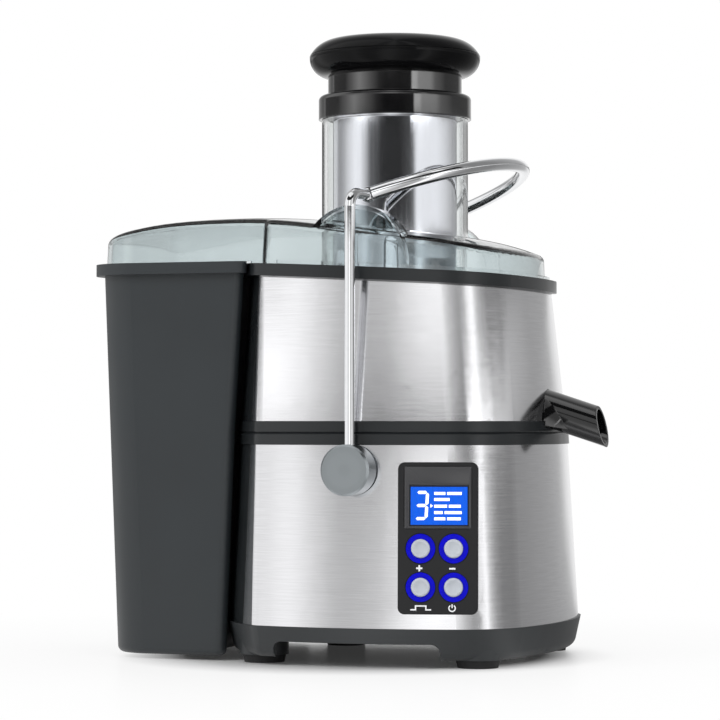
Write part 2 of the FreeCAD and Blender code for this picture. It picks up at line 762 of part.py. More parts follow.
def cooling_fan():
    hub = ring(9, SHAFT_RADIUS, FAN_Z, FAN_Z + FAN_HEIGHT)
    disc = ring(FAN_RADIUS, SHAFT_RADIUS, FAN_Z, FAN_Z + 1.5)
    blades = []
    for step in range(FAN_BLADES):
        blade = block(Vector(8, -0.7, FAN_Z), Vector(FAN_RADIUS - 1, 0.7, FAN_Z + FAN_HEIGHT))
        blade.rotate(Vector(), Vector(0, 0, 1), 360 * step / FAN_BLADES)
        blades.append(blade)
    return fuse_all([hub, disc] + blades)


def lobed(radius, low, high, clearance):
    """Drive spline: a round core with evenly spaced lobes."""
    pieces = [cylinder(radius + clearance, low, high)]
    for step in range(COUPLING_LOBES):
        spot = Rotation(Vector(0, 0, 1), 360 * step / COUPLING_LOBES).multVec(Vector(radius - 0.5, 0, 0))
        pieces.append(cylinder(2.5 + clearance, low, high, spot.x, spot.y))
    return fuse_all(pieces)


COUPLING_Z = DECK_SEAM + 2


def drive_coupling():
    core = lobed(COUPLING_RADIUS, COUPLING_Z, COUPLING_Z + COUPLING_HEIGHT, 0)
    return core.cut(cylinder(SHAFT_RADIUS, 0, COUPLING_Z + COUPLING_HEIGHT - 1))


def basket_hub():
    """Moulded hub that drops over the coupling and carries the basket floor."""
    sleeve = cylinder(HUB_RADIUS, DECK_SEAM + BOWL_FLOOR + 2, GRATER_Z)
    floor = cylinder(BASKET_FLOOR_RADIUS, GRATER_Z - PLATE, GRATER_Z)
    ribs = []
    for step in range(HUB_RIBS):
        corners = [Vector(HUB_RADIUS - 1, -HUB_RIB / 2, GRATER_Z - PLATE),
                   Vector(BASKET_FLOOR_RADIUS - 6, -HUB_RIB / 2, GRATER_Z - PLATE),
                   Vector(HUB_RADIUS - 1, -HUB_RIB / 2, DECK_SEAM + BOWL_COLLAR_HEIGHT + 8)]
        rib = Part.Face(Part.makePolygon(corners + corners[:1])).extrude(Vector(0, HUB_RIB, 0))
        rib.rotate(Vector(), Vector(0, 0, 1), 360 * step / HUB_RIBS)
        ribs.append(rib)
    hub = fuse_all([sleeve, floor] + ribs)
    return hub.cut(lobed(COUPLING_RADIUS, COUPLING_Z - 1, COUPLING_Z + COUPLING_HEIGHT + SEAT, FIT))


def grater_disc():
    """Steel disc with rings of small upright teeth."""
    pieces = [cylinder(GRATER_RADIUS, GRATER_Z, GRATER_Z + 1.2)]
    for row, count in ((14, 8), (22, 12), (30, 16), (38, 20)):
        for step in range(count):
            tooth = Part.makeCone(1.4, 0.3, TOOTH_HEIGHT, Vector(row, 0, GRATER_Z + 1.2))
            tooth.rotate(Vector(), Vector(0, 0, 1), 360 * (step + row / 100) / count)
            pieces.append(tooth)
    return fuse_all(pieces)


def filter_basket():
    """Conical sieve with rows of drain slots."""
    outer = turned([(BASKET_FLOOR_RADIUS, GRATER_Z), (BASKET_RIM_RADIUS, BASKET_RIM_Z),
                    (BASKET_RIM_RADIUS - BASKET_WALL, BASKET_RIM_Z),
                    (BASKET_FLOOR_RADIUS - BASKET_WALL, GRATER_Z)])
    height = BASKET_RIM_Z - GRATER_Z
    slots = []
    for step in range(SLOT_COUNT):
        slot = block(Vector(0, -SLOT_WIDTH / 2, GRATER_Z + 0.12 * height),
                     Vector(SPAN, SLOT_WIDTH / 2, GRATER_Z + 0.84 * height))
        slot.rotate(Vector(), Vector(0, 0, 1), 360 * step / SLOT_COUNT)
        slots.append(slot)
    return outer.cut(slots)


def basket_rim():
    low = BASKET_RIM_Z - 3
    inner = BASKET_RIM_RADIUS - BASKET_WALL
    lip = ring(BASKET_RIM_RADIUS + 2.2, inner, low, BASKET_RIM_Z + 3)
    return lip.cut(turned([(0, GRATER_Z), (BASKET_FLOOR_RADIUS, GRATER_Z),
                           (BASKET_RIM_RADIUS, BASKET_RIM_Z), (0, BASKET_RIM_Z)]))


# Juice bowl

def spout_frame(shape):
    """Turns a shape drawn along X at the origin into the sloping spout's place."""
    shape.rotate(Vector(), Vector(0, 1, 0), SPOUT_SLOPE)
    shape.translate(Vector(SEAM_REACH, 0, SPOUT_ROOT_Z))
    return shape


def bar_x(radius, start, end):
    return Part.makeCylinder(radius, end - start, Vector(start, 0, 0), Vector(1, 0, 0))


def spout_tip_cut():
    """Slanting end plane of the spout, with its lower lip furthest out."""
    keep = block(Vector(-SPAN, -SPAN, -SPAN), Vector(0, SPAN, SPAN))
    keep.rotate(Vector(), Vector(0, 1, 0), -SPOUT_CUT)
    lip_z = SPOUT_ROOT_Z - (SPOUT_TIP - SEAM_REACH) * math.tan(math.radians(SPOUT_SLOPE))
    lip_z -= SPOUT_RADIUS / math.cos(math.radians(SPOUT_SLOPE))
    keep.translate(Vector(SPOUT_TIP, 0, lip_z))
    return keep


def spout_gusset():
    """Skirt that widens from the spout back to its full width at the bowl's wall."""
    half = SPOUT_RADIUS * 0.7
    wide = GUSSET_WIDTH - half
    low = -SPOUT_RADIUS
    sections = []
    for x, top, foot, drop in ((-GUSSET_LENGTH, half, wide, low), (GUSSET_LENGTH, half, half, -half)):
        corners = [Vector(x, -half, top), Vector(x, half, top), Vector(x, foot, drop), Vector(x, -foot, drop)]
        sections.append(Part.makePolygon(corners + corners[:1]))
    return spout_frame(Part.makeLoft(sections, True, True))


def juice_spout():
    root = -20.0
    tube = spout_frame(bar_x(SPOUT_RADIUS, root, SPAN / 4))
    band = plan_solid(DECK_SEAM, BOWL_BAND_TOP, -BAND_PROUD - SEAT)
    below = plan_solid(BASE_TOP, DECK_SEAM, -BAND_PROUD - SEAT)
    gusset = spout_gusset().cut([below, band, plan_solid(BOWL_BAND_TOP, RIM_Z, -SEAT)])
    inside = plan_solid(DECK_SEAM, RIM_Z, SKIN + WALL)
    spout = tube.cut([inside, below]).fuse(gusset).removeSplitter()
    bore = spout_frame(bar_x(SPOUT_RADIUS - SPOUT_WALL, root, SPAN / 4))
    return spout.common(spout_tip_cut()).cut(bore)


def spout_hole():
    return spout_frame(bar_x(SPOUT_RADIUS + FIT, -25, 40))


def juice_bowl():
    """Moulded bowl: floor, inner wall, lower band, tilted rim and drive collar."""
    above = RIM_Z + 12
    shell = plan_solid(DECK_SEAM, above, SKIN)
    bin_side = plan_solid(DECK_SEAM, above, 0).cut(steel_side())
    band = band_solid(BOWL_BAND_TOP, DECK_SEAM)
    body = fuse_all([shell, bin_side, band]).common(rim_slab(-SPAN, -RIM_HEIGHT))
    rim = plan_prism(RIM_Z - 30, RIM_Z + 30, -RIM_OVERHANG, RIM_Z).common(rim_slab(-RIM_HEIGHT, 0))
    cavity = plan_solid(DECK_SEAM + BOWL_FLOOR, above, SKIN + WALL)
    bowl = body.fuse(rim).cut(cavity)
    top = DECK_SEAM + BOWL_COLLAR_HEIGHT
    bowl = bowl.fuse(cylinder(BOWL_COLLAR_RADIUS, DECK_SEAM + BOWL_FLOOR / 2, top)).removeSplitter()
    return bowl.cut([cylinder(BOWL_COLLAR_RADIUS - WALL, 0, top + 1), spout_hole()])


def bowl_steel_wrap():
    above = RIM_Z + 12
    skin = plan_solid(BOWL_BAND_TOP, above, 0).cut(plan_solid(BOWL_BAND_TOP, above, STEEL))
    skin = skin.common(steel_side()).common(rim_slab(-SPAN, -RIM_HEIGHT))
    return skin.cut(spout_hole())


# Lid

# Height of the lid's centre line over the rim at places along X, from the bin end to the spout end
LID_STATIONS = ((-177, 14.7), (-162, 24.2), (-146, 28.7), (-120, 32.5), (-90, 33.9), (-45, 32.9),
                (0, 27.7), (45, 21.3), (75, 14.7), (98, 5.7))


def lid_top(drop):
    """Everything under the lid's crowned top, lowered by drop."""
    sections = []
    side = 110.0
    for x, height in LID_STATIONS:
        crown = RIM_Z + height - drop
        edge = crown - LID_CROWN + math.sqrt(LID_CROWN ** 2 - side ** 2)
        low = DECK_SEAM
        corners = [Vector(x, -side, edge), Vector(x, -side, low), Vector(x, side, low), Vector(x, side, edge)]
        lines = [Part.LineSegment(corners[k], corners[k + 1]).toShape() for k in range(3)]
        crest = Part.Arc(corners[3], Vector(x, 0, crown), corners[0]).toShape()
        sections.append(Part.Wire(lines + [crest]))
    return Part.makeLoft(sections, True, False)


def lid_end(inset, low, high):
    """Bin end of the lid in plan, with rounded left corners and drafted sides."""
    sections = []
    for z, draw in ((low, 0.0), (high, LID_DRAFT)):
        reach = BIN_TOP_REACH + LID_END_OVER - inset - draw
        depth = BIN_TOP_DEPTH - LID_END_SIDE - inset - draw
        corner = BIN_CORNER - inset - draw
        centre = Vector(corner - reach, corner - depth, 0)
        start = Vector(-reach, corner - depth, 0)
        finish = Vector(corner - reach, -depth, 0)
        join = Vector(0, -depth, 0)
        edges = [
            Part.LineSegment(flip(start), start),
            arc_about(centre, start, finish),
            Part.LineSegment(finish, join),
            Part.LineSegment(join, flip(join)),
            Part.LineSegment(flip(join), flip(finish)),
            arc_about(flip(centre), flip(finish), flip(start)),
        ]
        wire = Part.Wire([edge.toShape() for edge in edges])
        wire.translate(Vector(0, 0, z))
        sections.append(wire)
    return Part.makeLoft(sections, True, True)


def lid_plan(inset, low, high):
    """Lid outline over bowl and bin, drawn in by the draft as it rises."""
    over_bowl = Part.makeLoft([plan_wire(low, LID_INSET + inset, RIM_Z),
                               plan_wire(high, LID_INSET + inset + LID_DRAFT, RIM_Z)], True, True)
    return over_bowl.fuse(lid_end(inset, low, high)).removeSplitter()


def lid_underside():
    """Everything below the lid's seat: level over the bin and along the tilted rim over the bowl."""
    over_bin = block(Vector(-SPAN, -SPAN, 0), Vector(LID_JOIN_X, SPAN, BIN_RIM_Z + LID_BIN_GAP))
    over_bowl = rim_slab(-SPAN, SEAT).common(block(Vector(LID_JOIN_X, -SPAN, 0), Vector(SPAN, SPAN, SPAN)))
    return over_bin.fuse(over_bowl)


def ear(radius, front, back):
    """Half-moon ridge across the lid's edge that the arm closes over."""
    z = EAR_TOP - EAR_RADIUS
    below = block(Vector(-SPAN, -SPAN, 0), Vector(SPAN, SPAN, z - 12))
    return rod_y(radius, front, back, EAR_X, z).cut(below)


def rounded_top(shape, radius):
    """Rounds the crease where the crowned top meets the sides."""
    tops = [face for face in shape.Faces if face.normalAt(*middle_of(face)).z > 0.7]
    return shape.makeFillet(radius, [edge for face in tops for edge in face.OuterWire.Edges])


def middle_of(face):
    low_u, high_u, low_v, high_v = face.ParameterRange
    return (low_u + high_u) / 2, (low_v + high_v) / 2


def lid_cover():
    low = RIM_Z - 12
    high = RIM_Z + 40
    outer = rounded_top(lid_plan(0, low, high).common(lid_top(0)), LID_ROUND)
    inner = lid_plan(LID_WALL, low, high).common(lid_top(LID_WALL))
    front = EAR_INSET - RIM_DEPTH
    ears = ear(EAR_RADIUS, front, front + EAR_THICK)
    ear_space = ear(EAR_RADIUS - LID_WALL, front + LID_WALL, front + EAR_THICK - LID_WALL)
    shell = fuse_all([outer, ears, ears.mirror(Vector(), Vector(0, 1, 0))])
    shell = shell.cut([inner, ear_space, ear_space.mirror(Vector(), Vector(0, 1, 0)), lid_underside()])
    flange = plan_prism(low, high, LID_INSET - LID_FLANGE, RIM_Z)
    flange = flange.cut(plan_prism(low, high, LID_INSET + LID_WALL, RIM_Z))
    right = block(Vector(LID_FLANGE_START, -SPAN, 0), Vector(SPAN, SPAN, SPAN))
    flange = flange.common(rim_slab(SEAT, SEAT + LID_FLANGE)).common(right)
    play = SKIN + WALL + 0.8
    skirt = plan_prism(low - 12, high, play, RIM_Z).cut(plan_prism(low - 12, high, play + LID_WALL, RIM_Z))
    right = block(Vector(LID_SKIRT_START, -SPAN, 0), Vector(SPAN, SPAN, SPAN))
    skirt = skirt.common(rim_slab(-LID_SKIRT, SEAT + LID_FLANGE)).common(right)
    lid = fuse_all([shell, flange, skirt])
    return lid.cut(cylinder(CHUTE_RADIUS + FIT / 3, 0, SPAN))


def feed_chute():
    return ring(CHUTE_RADIUS, CHUTE_RADIUS - CHUTE_WALL, CHUTE_BOTTOM, CHUTE_TOP)


# Pusher

PUSHER_SEAT = CHUTE_TOP + SEAT
NECK_Z = PUSHER_SEAT + COLLAR_HEIGHT
KNOB_Z = NECK_Z + NECK_HEIGHT
SLEEVE_FOOT_Z = CHUTE_BOTTOM + FOOT_RISE + FOOT_PLUG


def pusher_sleeve():
    return ring(SLEEVE_RADIUS, SLEEVE_RADIUS - SLEEVE_WALL, SLEEVE_FOOT_Z, NECK_Z)


def pusher_foot():
    """Guide plug that closes the sleeve and runs in the chute."""
    low = CHUTE_BOTTOM + FOOT_RISE
    guide = cylinder(CHUTE_RADIUS - CHUTE_WALL - PUSHER_FIT, low, SLEEVE_FOOT_Z)
    edge = [item for item in guide.Edges if abs(item.CenterOfMass.z - low) < 1e-6]
    guide = guide.makeFillet(1.5, edge[:1])
    return guide.fuse(cylinder(SLEEVE_RADIUS - SLEEVE_WALL, SLEEVE_FOOT_Z, SLEEVE_FOOT_Z + 10))


def pusher_collar():
    collar = ring(COLLAR_RADIUS, SLEEVE_RADIUS, PUSHER_SEAT, NECK_Z)
    edge = [item for item in collar.Edges
            if abs(item.CenterOfMass.z - NECK_Z) < 1e-6 and item.Curve.TypeId == "Part::GeomCircle"
            and item.Curve.Radius > COLLAR_RADIUS - 1]
    return collar.makeFillet(3.0, edge)


def pusher_neck():
    neck = cylinder(NECK_RADIUS, NECK_Z, KNOB_Z)
    return neck.fuse(cylinder(SLEEVE_RADIUS - SLEEVE_WALL, NECK_Z - 10, NECK_Z))


def pusher_knob():
    """Bun-shaped cap with a fine seam groove just above its widest line."""
    top = PUSHER_TOP
    wide_z = KNOB_Z + 0.45 * (top - KNOB_Z)
    shoulder = Vector(KNOB_RADIUS - 13, 0, top - 2.4)
    rim = Vector(KNOB_RADIUS, 0, wide_z)
    over = Vector(KNOB_RADIUS, 0, wide_z + 1.4)
    under = Vector(NECK_RADIUS, 0, KNOB_Z)
    edges = [
        Part.LineSegment(Vector(0, 0, KNOB_Z), under),
        Part.Arc(under, Vector(KNOB_RADIUS - 3.0, 0, KNOB_Z + 0.16 * (top - KNOB_Z)), rim),
        Part.LineSegment(rim, over),
        Part.Arc(over, Vector(KNOB_RADIUS - 4.4, 0, top - 6.6), shoulder),
        Part.LineSegment(shoulder, Vector(0, 0, shoulder.z)),
        Part.LineSegment(Vector(0, 0, shoulder.z), Vector(0, 0, KNOB_Z)),
    ]
    face = Part.Face(Part.Wire([edge.toShape() for edge in edges]))
    knob = face.revolve(Vector(), Vector(0, 0, 1), 360)
    rise = top - shoulder.z
    dome_radius = (shoulder.x ** 2 + rise ** 2) / (2 * rise)
    dome = Part.makeSphere(dome_radius, Vector(0, 0, top - dome_radius))
    dome = dome.common(cylinder(KNOB_RADIUS, shoulder.z, top + 1))
    groove = ring(KNOB_RADIUS + 2, KNOB_RADIUS - 0.7, wide_z + 1.6, wide_z + 2.2)
    return knob.fuse(dome).removeSplitter().cut(groove)


# Locking arm

def cap_back():
    """Back face of the pivot cap, clear of the leaning steel under its lowest edge."""
    nearest = max(abs(PIVOT_X) - CAP_RADIUS, 0)
    return front_y(nearest, PIVOT_Z - CAP_RADIUS) - CAP_GAP


def swept(wire, start, direction, radius):
    """Round bar along a wire of lines and arcs."""
    profile = Part.Wire(Part.makeCircle(radius, start, direction))
    return wire.makePipeShell([profile], True, False)


def rod_offset():
    """Distance of each leg's centre line from the middle, just outside its cap's back face."""
    return ROD_RADIUS + ROD_WALL - cap_back()


def handle_end():
    """Middle of the front knuckle, where leg and handle join."""
    return Vector(HANDLE_X, HANDLE_INSET - rod_offset(), ROD_TOP)


def arm_rod():
    """Front leg: up from the pivot cap, then bent inwards over the lid's ear."""
    foot = Vector(PIVOT_X, -rod_offset(), PIVOT_Z)
    corner = Vector(PIVOT_X, -rod_offset(), ROD_TOP)
    end = handle_end()
    inwards = unit(end - corner)
    before = corner - Vector(0, 0, ROD_BEND)
    after = corner + inwards * ROD_BEND
    centre = before + inwards * ROD_BEND
    wire = Part.Wire([
        Part.LineSegment(foot, before).toShape(),
        arc_about(centre, before, after).toShape(),
        Part.LineSegment(after, end).toShape(),
    ])
    return swept(wire, foot, Vector(0, 0, 1), ROD_RADIUS)


def arm_rods():
    knuckle = Part.makeSphere(KNUCKLE_RADIUS, handle_end())
    return both_sides(arm_rod().cut(knuckle))


def arm_handle():
    """Bail between the two legs, bowed in one arc and rising to the right."""
    end = handle_end()
    tip = Vector((HANDLE_TIP - HANDLE_X) / math.cos(math.radians(HANDLE_RISE)), 0, 0)
    start = Vector(0, end.y, 0)
    bow = Part.Arc(start, tip, flip(start)).toShape()
    bail = swept(Part.Wire([bow]), start, bow.tangentAt(bow.FirstParameter), HANDLE_RADIUS)
    knuckles = [Part.makeSphere(KNUCKLE_RADIUS, start), Part.makeSphere(KNUCKLE_RADIUS, flip(start))]
    bail = fuse_all([bail] + knuckles)
    bail.rotate(Vector(), Vector(0, 1, 0), -HANDLE_RISE)
    bail.translate(Vector(HANDLE_X, 0, ROD_TOP))
    return bail


def pivot_caps():
    """Round caps at the foot of each leg."""
    back = cap_back()
    cap = rod_y(CAP_RADIUS, back - CAP_THICK, back, PIVOT_X, PIVOT_Z)
    edge = [item for item in cap.Edges if abs(item.CenterOfMass.y - back + CAP_THICK) < 1e-6]
    cap = cap.makeChamfer(1.2, edge[:1])
    pocket = rod_y(PIN_RADIUS, back - CAP_THICK / 2, back, PIVOT_X, PIVOT_Z)
    return both_sides(cap.cut([arm_rod(), pocket]))


def pivot_pins():
    """Pins from the caps through the bushes, with a retaining collar inside."""
    back = cap_back()
    end = cam_face()
    pin = rod_y(PIN_RADIUS, back - CAP_THICK / 2, end + CAM_THICK, PIVOT_X, PIVOT_Z)
    return both_sides(pin.cut(arm_rod()))


def interlock_cam():
    """Collar on each pin's inner end; the front one has the lobe that closes the switch."""
    face = cam_face()
    collar = rod_y(CAM_RADIUS, face, face + CAM_THICK, PIVOT_X, PIVOT_Z)
    lobe = block(Vector(PIVOT_X - LOBE_WIDTH / 2, face, PIVOT_Z),
                 Vector(PIVOT_X + LOBE_WIDTH / 2, face + CAM_THICK, PIVOT_Z + LOBE_HEIGHT))
    bore = rod_y(PIN_RADIUS, -SPAN, SPAN, PIVOT_X, PIVOT_Z)
    front = collar.fuse(lobe).cut(bore)
    back = collar.cut(bore).mirror(Vector(), Vector(0, 1, 0))
    return Part.makeCompound([front, back])


# Pulp bin

def bin_share(z, low, high):
    return low + (high - low) * (z - BIN_FLOOR_Z) / (BIN_RIM_Z - BIN_FLOOR_Z)


def bin_wire(z, inset, hollow_inset=None, size_z=None):
    """Bin outline at a height: square to the left, hollowed on the right to clasp the body."""
    size_z = z if size_z is None else size_z
    hollow_inset = inset if hollow_inset is None else hollow_inset
    reach = bin_share(size_z, BIN_FLOOR_REACH, BIN_TOP_REACH) - inset
    depth = bin_share(size_z, BIN_FLOOR_DEPTH, BIN_TOP_DEPTH) - inset
    corner = BIN_CORNER - inset
    tip = BIN_TIP_ROUND - max(inset, 0)
    body = Vector(LEFT_RADIUS - left_at(size_z), 0, 0)
    hollow = LEFT_RADIUS + bin_share(size_z, BIN_FLOOR_GAP, BIN_TOP_GAP) + hollow_inset
    tip_centre = Vector(body.x - math.sqrt((hollow + tip) ** 2 - (depth - tip) ** 2), tip - depth, 0)
    tip_front = Vector(tip_centre.x, -depth, 0)
    tip_side = body + unit(tip_centre - body) * hollow
    centre = Vector(corner - reach, corner - depth, 0)
    start = Vector(-reach, corner - depth, 0)
    finish = Vector(corner - reach, -depth, 0)
    edges = [
        Part.LineSegment(flip(start), start),
        arc_about(centre, start, finish),
        Part.LineSegment(finish, tip_front),
        arc_about(tip_centre, tip_front, tip_side),
        arc_about(body, tip_side, flip(tip_side)),
        arc_about(flip(tip_centre), flip(tip_side), flip(tip_front)),
        Part.LineSegment(flip(tip_front), flip(finish)),
        arc_about(flip(centre), flip(finish), flip(start)),
    ]
    wire = Part.Wire([edge.toShape() for edge in edges])
    wire.translate(Vector(0, 0, z))
    return wire


def bin_solid(inset, low, high):
    levels = [low, DECK_SEAM, high]
    lower = Part.makeLoft([bin_wire(z, inset) for z in levels[:2]], True, True)
    upper = Part.makeLoft([bin_wire(z, inset) for z in levels[1:]], True, True)
    return lower.fuse(upper).removeSplitter()


def pulp_bin():
    outer = bin_solid(0, BIN_FLOOR_Z, BIN_RIM_Z)
    under = [edge for edge in outer.Edges if edge.BoundBox.ZMax < BIN_FLOOR_Z + 1e-3]
    outer = outer.makeFillet(BIN_FLOOR_ROUND, under)
    lip = Part.Face(bin_wire(BIN_RIM_Z - BIN_LIP_HEIGHT, -BIN_LIP, 0, BIN_RIM_Z))
    lip = lip.extrude(Vector(0, 0, BIN_LIP_HEIGHT))
    inner = bin_solid(BIN_WALL, BIN_FLOOR_Z + BIN_WALL, BIN_RIM_Z)
    return outer.fuse(lip).removeSplitter().cut(inner)


PARTS = {
    "base_tray": base_tray,
    "rubber_feet": rubber_feet,
    "base_screws": base_screws,
    "motor_housing": motor_housing,
    "lower_steel_wrap": lower_steel_wrap,
    "shaft_seal": shaft_seal,
    "pivot_bushes": pivot_bushes,
    "cord_gland": cord_gland,
    "speed_board": speed_board,
    "interlock_switch": interlock_switch,
    "control_panel": control_panel,
    "display_lens": display_lens,
    "lcd_module": lcd_module,
    "button_rings": button_rings,
    "control_board": control_board,
    "motor_bracket_bottom": motor_bracket_bottom,
    "motor_bracket_top": motor_bracket_top,
    "bearing_bottom": lambda: bearing(BEARING_LOW_Z),
    "bearing_top": lambda: bearing(BEARING_HIGH_Z),
    "motor_dampers": motor_dampers,
    "motor_bolts": motor_bolts,
    "stator_core": stator_core,
    "field_coils": field_coils,
    "brush_holders": brush_holders,
    "motor_shaft": motor_shaft,
    "armature_core": armature_core,
    "armature_winding": armature_winding,
    "commutator": commutator,
    "cooling_fan": cooling_fan,
    "drive_coupling": drive_coupling,
    "basket_hub": basket_hub,
    "grater_disc": grater_disc,
    "filter_basket": filter_basket,
    "basket_rim": basket_rim,
    "juice_bowl": juice_bowl,
    "bowl_steel_wrap": bowl_steel_wrap,
    "juice_spout": juice_spout,
    "lid_cover": lid_cover,
    "feed_chute": feed_chute,
    "pusher_sleeve": pusher_sleeve,
    "pusher_foot": pusher_foot,
    "pusher_collar": pusher_collar,
    "pusher_neck": pusher_neck,
    "pusher_knob": pusher_knob,
    "arm_rods": arm_rods,
    "arm_handle": arm_handle,
    "pivot_caps": pivot_caps,
    "pivot_pins": pivot_pins,
    "interlock_cam": interlock_cam,
    "pulp_bin": pulp_bin,
    "button_plus": lambda: button(*BUTTONS["button_plus"]),
    "button_minus": lambda: button(*BUTTONS["button_minus"]),
    "button_pulse": lambda: button(*BUTTONS["button_pulse"]),
    "button_power": lambda: button(*BUTTONS["button_power"]),
}


def main():
    os.makedirs("parts", exist_ok=True)
    for name, make in PARTS.items():
        shape = make()
        if not shape.isValid() or not shape.Solids:
            raise ValueError(name + " is not a valid solid")
        shape = Part.makeCompound(shape.Solids) if len(shape.Solids) > 1 else shape.Solids[0]
        shape.translate(Vector(AXIS_X, 0, 0))
        shape.exportStep(os.path.join("parts", name + ".step"))
        print(name, len(shape.Solids), "solids", round(shape.Volume / 1000, 2), "cm3")


main()
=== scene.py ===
import math

import bmesh
import bpy
from bpy.props import FloatProperty, FloatVectorProperty, PointerProperty
from mathutils import Matrix, Vector


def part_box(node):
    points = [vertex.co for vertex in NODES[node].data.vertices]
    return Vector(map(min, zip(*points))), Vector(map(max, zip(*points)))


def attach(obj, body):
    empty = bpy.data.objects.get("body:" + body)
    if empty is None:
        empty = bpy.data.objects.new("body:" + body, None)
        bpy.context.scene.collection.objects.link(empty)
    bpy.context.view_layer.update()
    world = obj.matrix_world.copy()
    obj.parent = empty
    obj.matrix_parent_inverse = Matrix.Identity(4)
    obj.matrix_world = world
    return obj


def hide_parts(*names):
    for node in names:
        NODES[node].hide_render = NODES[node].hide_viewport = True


bl_info = {
    "name": "Centrifugal juicer finishes",
    "version": (1, 0, 0),
    "blender": (4, 5, 0),
    "location": "3D View > Sidebar > Juicer",
    "description": "Finishes, display, signs, buttons and studio for a countertop juicer",
    "category": "Object",
}

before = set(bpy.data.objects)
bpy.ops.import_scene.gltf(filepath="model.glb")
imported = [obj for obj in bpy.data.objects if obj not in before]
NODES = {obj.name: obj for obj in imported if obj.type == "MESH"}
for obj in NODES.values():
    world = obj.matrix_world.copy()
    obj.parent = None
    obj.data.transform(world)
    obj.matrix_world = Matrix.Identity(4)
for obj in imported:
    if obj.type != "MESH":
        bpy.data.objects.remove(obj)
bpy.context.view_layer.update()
MM = 0.001
WHITE = (1.0, 1.0, 1.0, 1.0)
Z_AXIS = (0.0, 0.0, 1.0)
ORIGIN = (0.0, 0.0, 0.0)
CORNERS = ((-1, -1), (1, -1), (1, 1), (-1, 1))

# Lower steel wrap that carries the panel, in millimetres, as the CAD has it
SIDE_RADIUS = 230.0
WRAP_DEPTH = 104.0
WRAP_FOOT_Z = 23.3
WRAP_RISE = 113.7
WRAP_LEAN = 6.0

# Heights on the panel in millimetres
DISPLAY_SUNK = 1.1
MARK_RAISED = 0.12
SIGN_RAISED = 0.08
CAP_PROUD = 1.9

# Sockets of a colour Mix node, which share their names with its other kinds
MIX_A, MIX_B, MIX_RESULT = 6, 7, 2
# Stretch of a noise or wave pattern in which most of its values lie
PATTERN_RANGE = (0.3, 0.7)
NOISE_ROUGHNESS = 0.55
# Radians of a Wave node, and rows of a Brick node, to the unit at scale 1
WAVE_PHASE = 20.0
BRICK_ROWS = 4

# Distance of the cards that stand round the studio, in metres
CARD_RADIUS = 2.6
# Brightness of the studio in reflections, by compass direction in degrees from the front
STUDIO = ((-180, 0.9), (-160, 1.0), (-140, 0.5), (-120, 0.35), (-105, 0.9), (-80, 1.0), (-46, 0.95), (-39, 1.15),
          (-35, 1.15), (-30, 0.95), (-21, 0.63), (-16, 0.6), (-6, 0.7), (0, 1.05), (6, 1.3), (12, 1.4), (20, 1.2),
          (25, 0.86), (35, 0.58), (44, 0.42), (53, 0.45), (59, 1.05), (66, 1.4), (71, 0.8), (76, 0.55), (83, 0.36),
          (94, 0.24), (119, 0.24), (156, 0.4), (168, 0.5), (174, 0.75), (180, 0.9))


def linear(hex_colour):
    """Linear colour of an sRGB hex value."""
    shares = [int(hex_colour[k:k + 2], 16) / 255 for k in (1, 3, 5)]
    return tuple(c / 12.92 if c <= 0.04045 else ((c + 0.055) / 1.055) ** 2.4 for c in shares) + (1.0,)


def colour(name, description, hex_colour):
    return FloatVectorProperty(name=name, description=description, subtype="COLOR", size=4,
                               min=0.0, max=1.0, default=linear(hex_colour))


def length(name, description, default):
    return FloatProperty(name=name, description=description, unit="LENGTH", default=default)


def angle(name, description, degrees):
    return FloatProperty(name=name, description=description, subtype="ANGLE", default=math.radians(degrees))


class JuicerFinishes(bpy.types.PropertyGroup):
    steel: colour("Steel", "Brushed stainless wraps", "#e6e6e8")
    slate: colour("Slate", "Matte pulp bin", "#23282b")
    band: colour("Bands", "Housing, bowl and rim", "#1b1e20")
    base: colour("Base", "Base tray", "#282b2d")
    gloss_black: colour("Gloss black", "Pusher cap, collar and spout", "#0d0d0e")
    smoke: colour("Smoke", "Clear lid", "#dfe6e7")
    chrome: colour("Chrome", "Locking arm", "#f0f1f3")
    cap_metal: colour("Pivot cap", "Satin pivot caps", "#a6acaf")
    panel: colour("Panel", "Control panel face", "#161618")
    bezel: colour("Bezel", "Frame round the display", "#39393b")
    display: colour("Display", "Lit display", "#0050c8")
    ring: colour("Button rings", "Rings round the buttons", "#0303b4")
    cap: colour("Button caps", "Push button caps", "#bcc1c8")
    ink: colour("Signs", "Printed signs and lit display marks", "#f4f5f7")


class JuicerSizes(bpy.types.PropertyGroup):
    axis_x: length("Drive axis", "Place of the drive axis along X", 20.0 * MM)
    panel_x: length("Panel X", "Middle of the panel from the drive axis", 58.5 * MM)
    panel_z: length("Panel height", "Middle of the panel above the table", 76.0 * MM)
    panel_proud: length("Panel proud", "Panel face in front of the steel", 0.8 * MM)
    button_radius: length("Button radius", "Radius of a button cap", 5.5 * MM)
    grain_width: length("Steel grain", "Width of a brush line as drawn", 0.45 * MM)
    grain_length: length("Steel grain length", "Length of a brush line", 24.0 * MM)
    moulding_grain: length("Moulding grain", "Spacing of the moulded grain as drawn", 0.7 * MM)


class JuicerStage(bpy.types.PropertyGroup):
    azimuth: angle("Azimuth", "Camera's angle round the object from the front", 19.0)
    distance: length("Distance", "Camera's distance from the drive axis", 1.85)
    height: length("Camera height", "Camera's height above the table", 0.1446)
    aim_up: length("Aim up", "Aim point above the camera's height", 0.037)
    aim_left: length("Aim left", "Aim point to the left of the drive axis", 0.0216)
    lens: FloatProperty(name="Lens", description="Focal length in millimetres", default=150.0)


# Node and mesh helpers

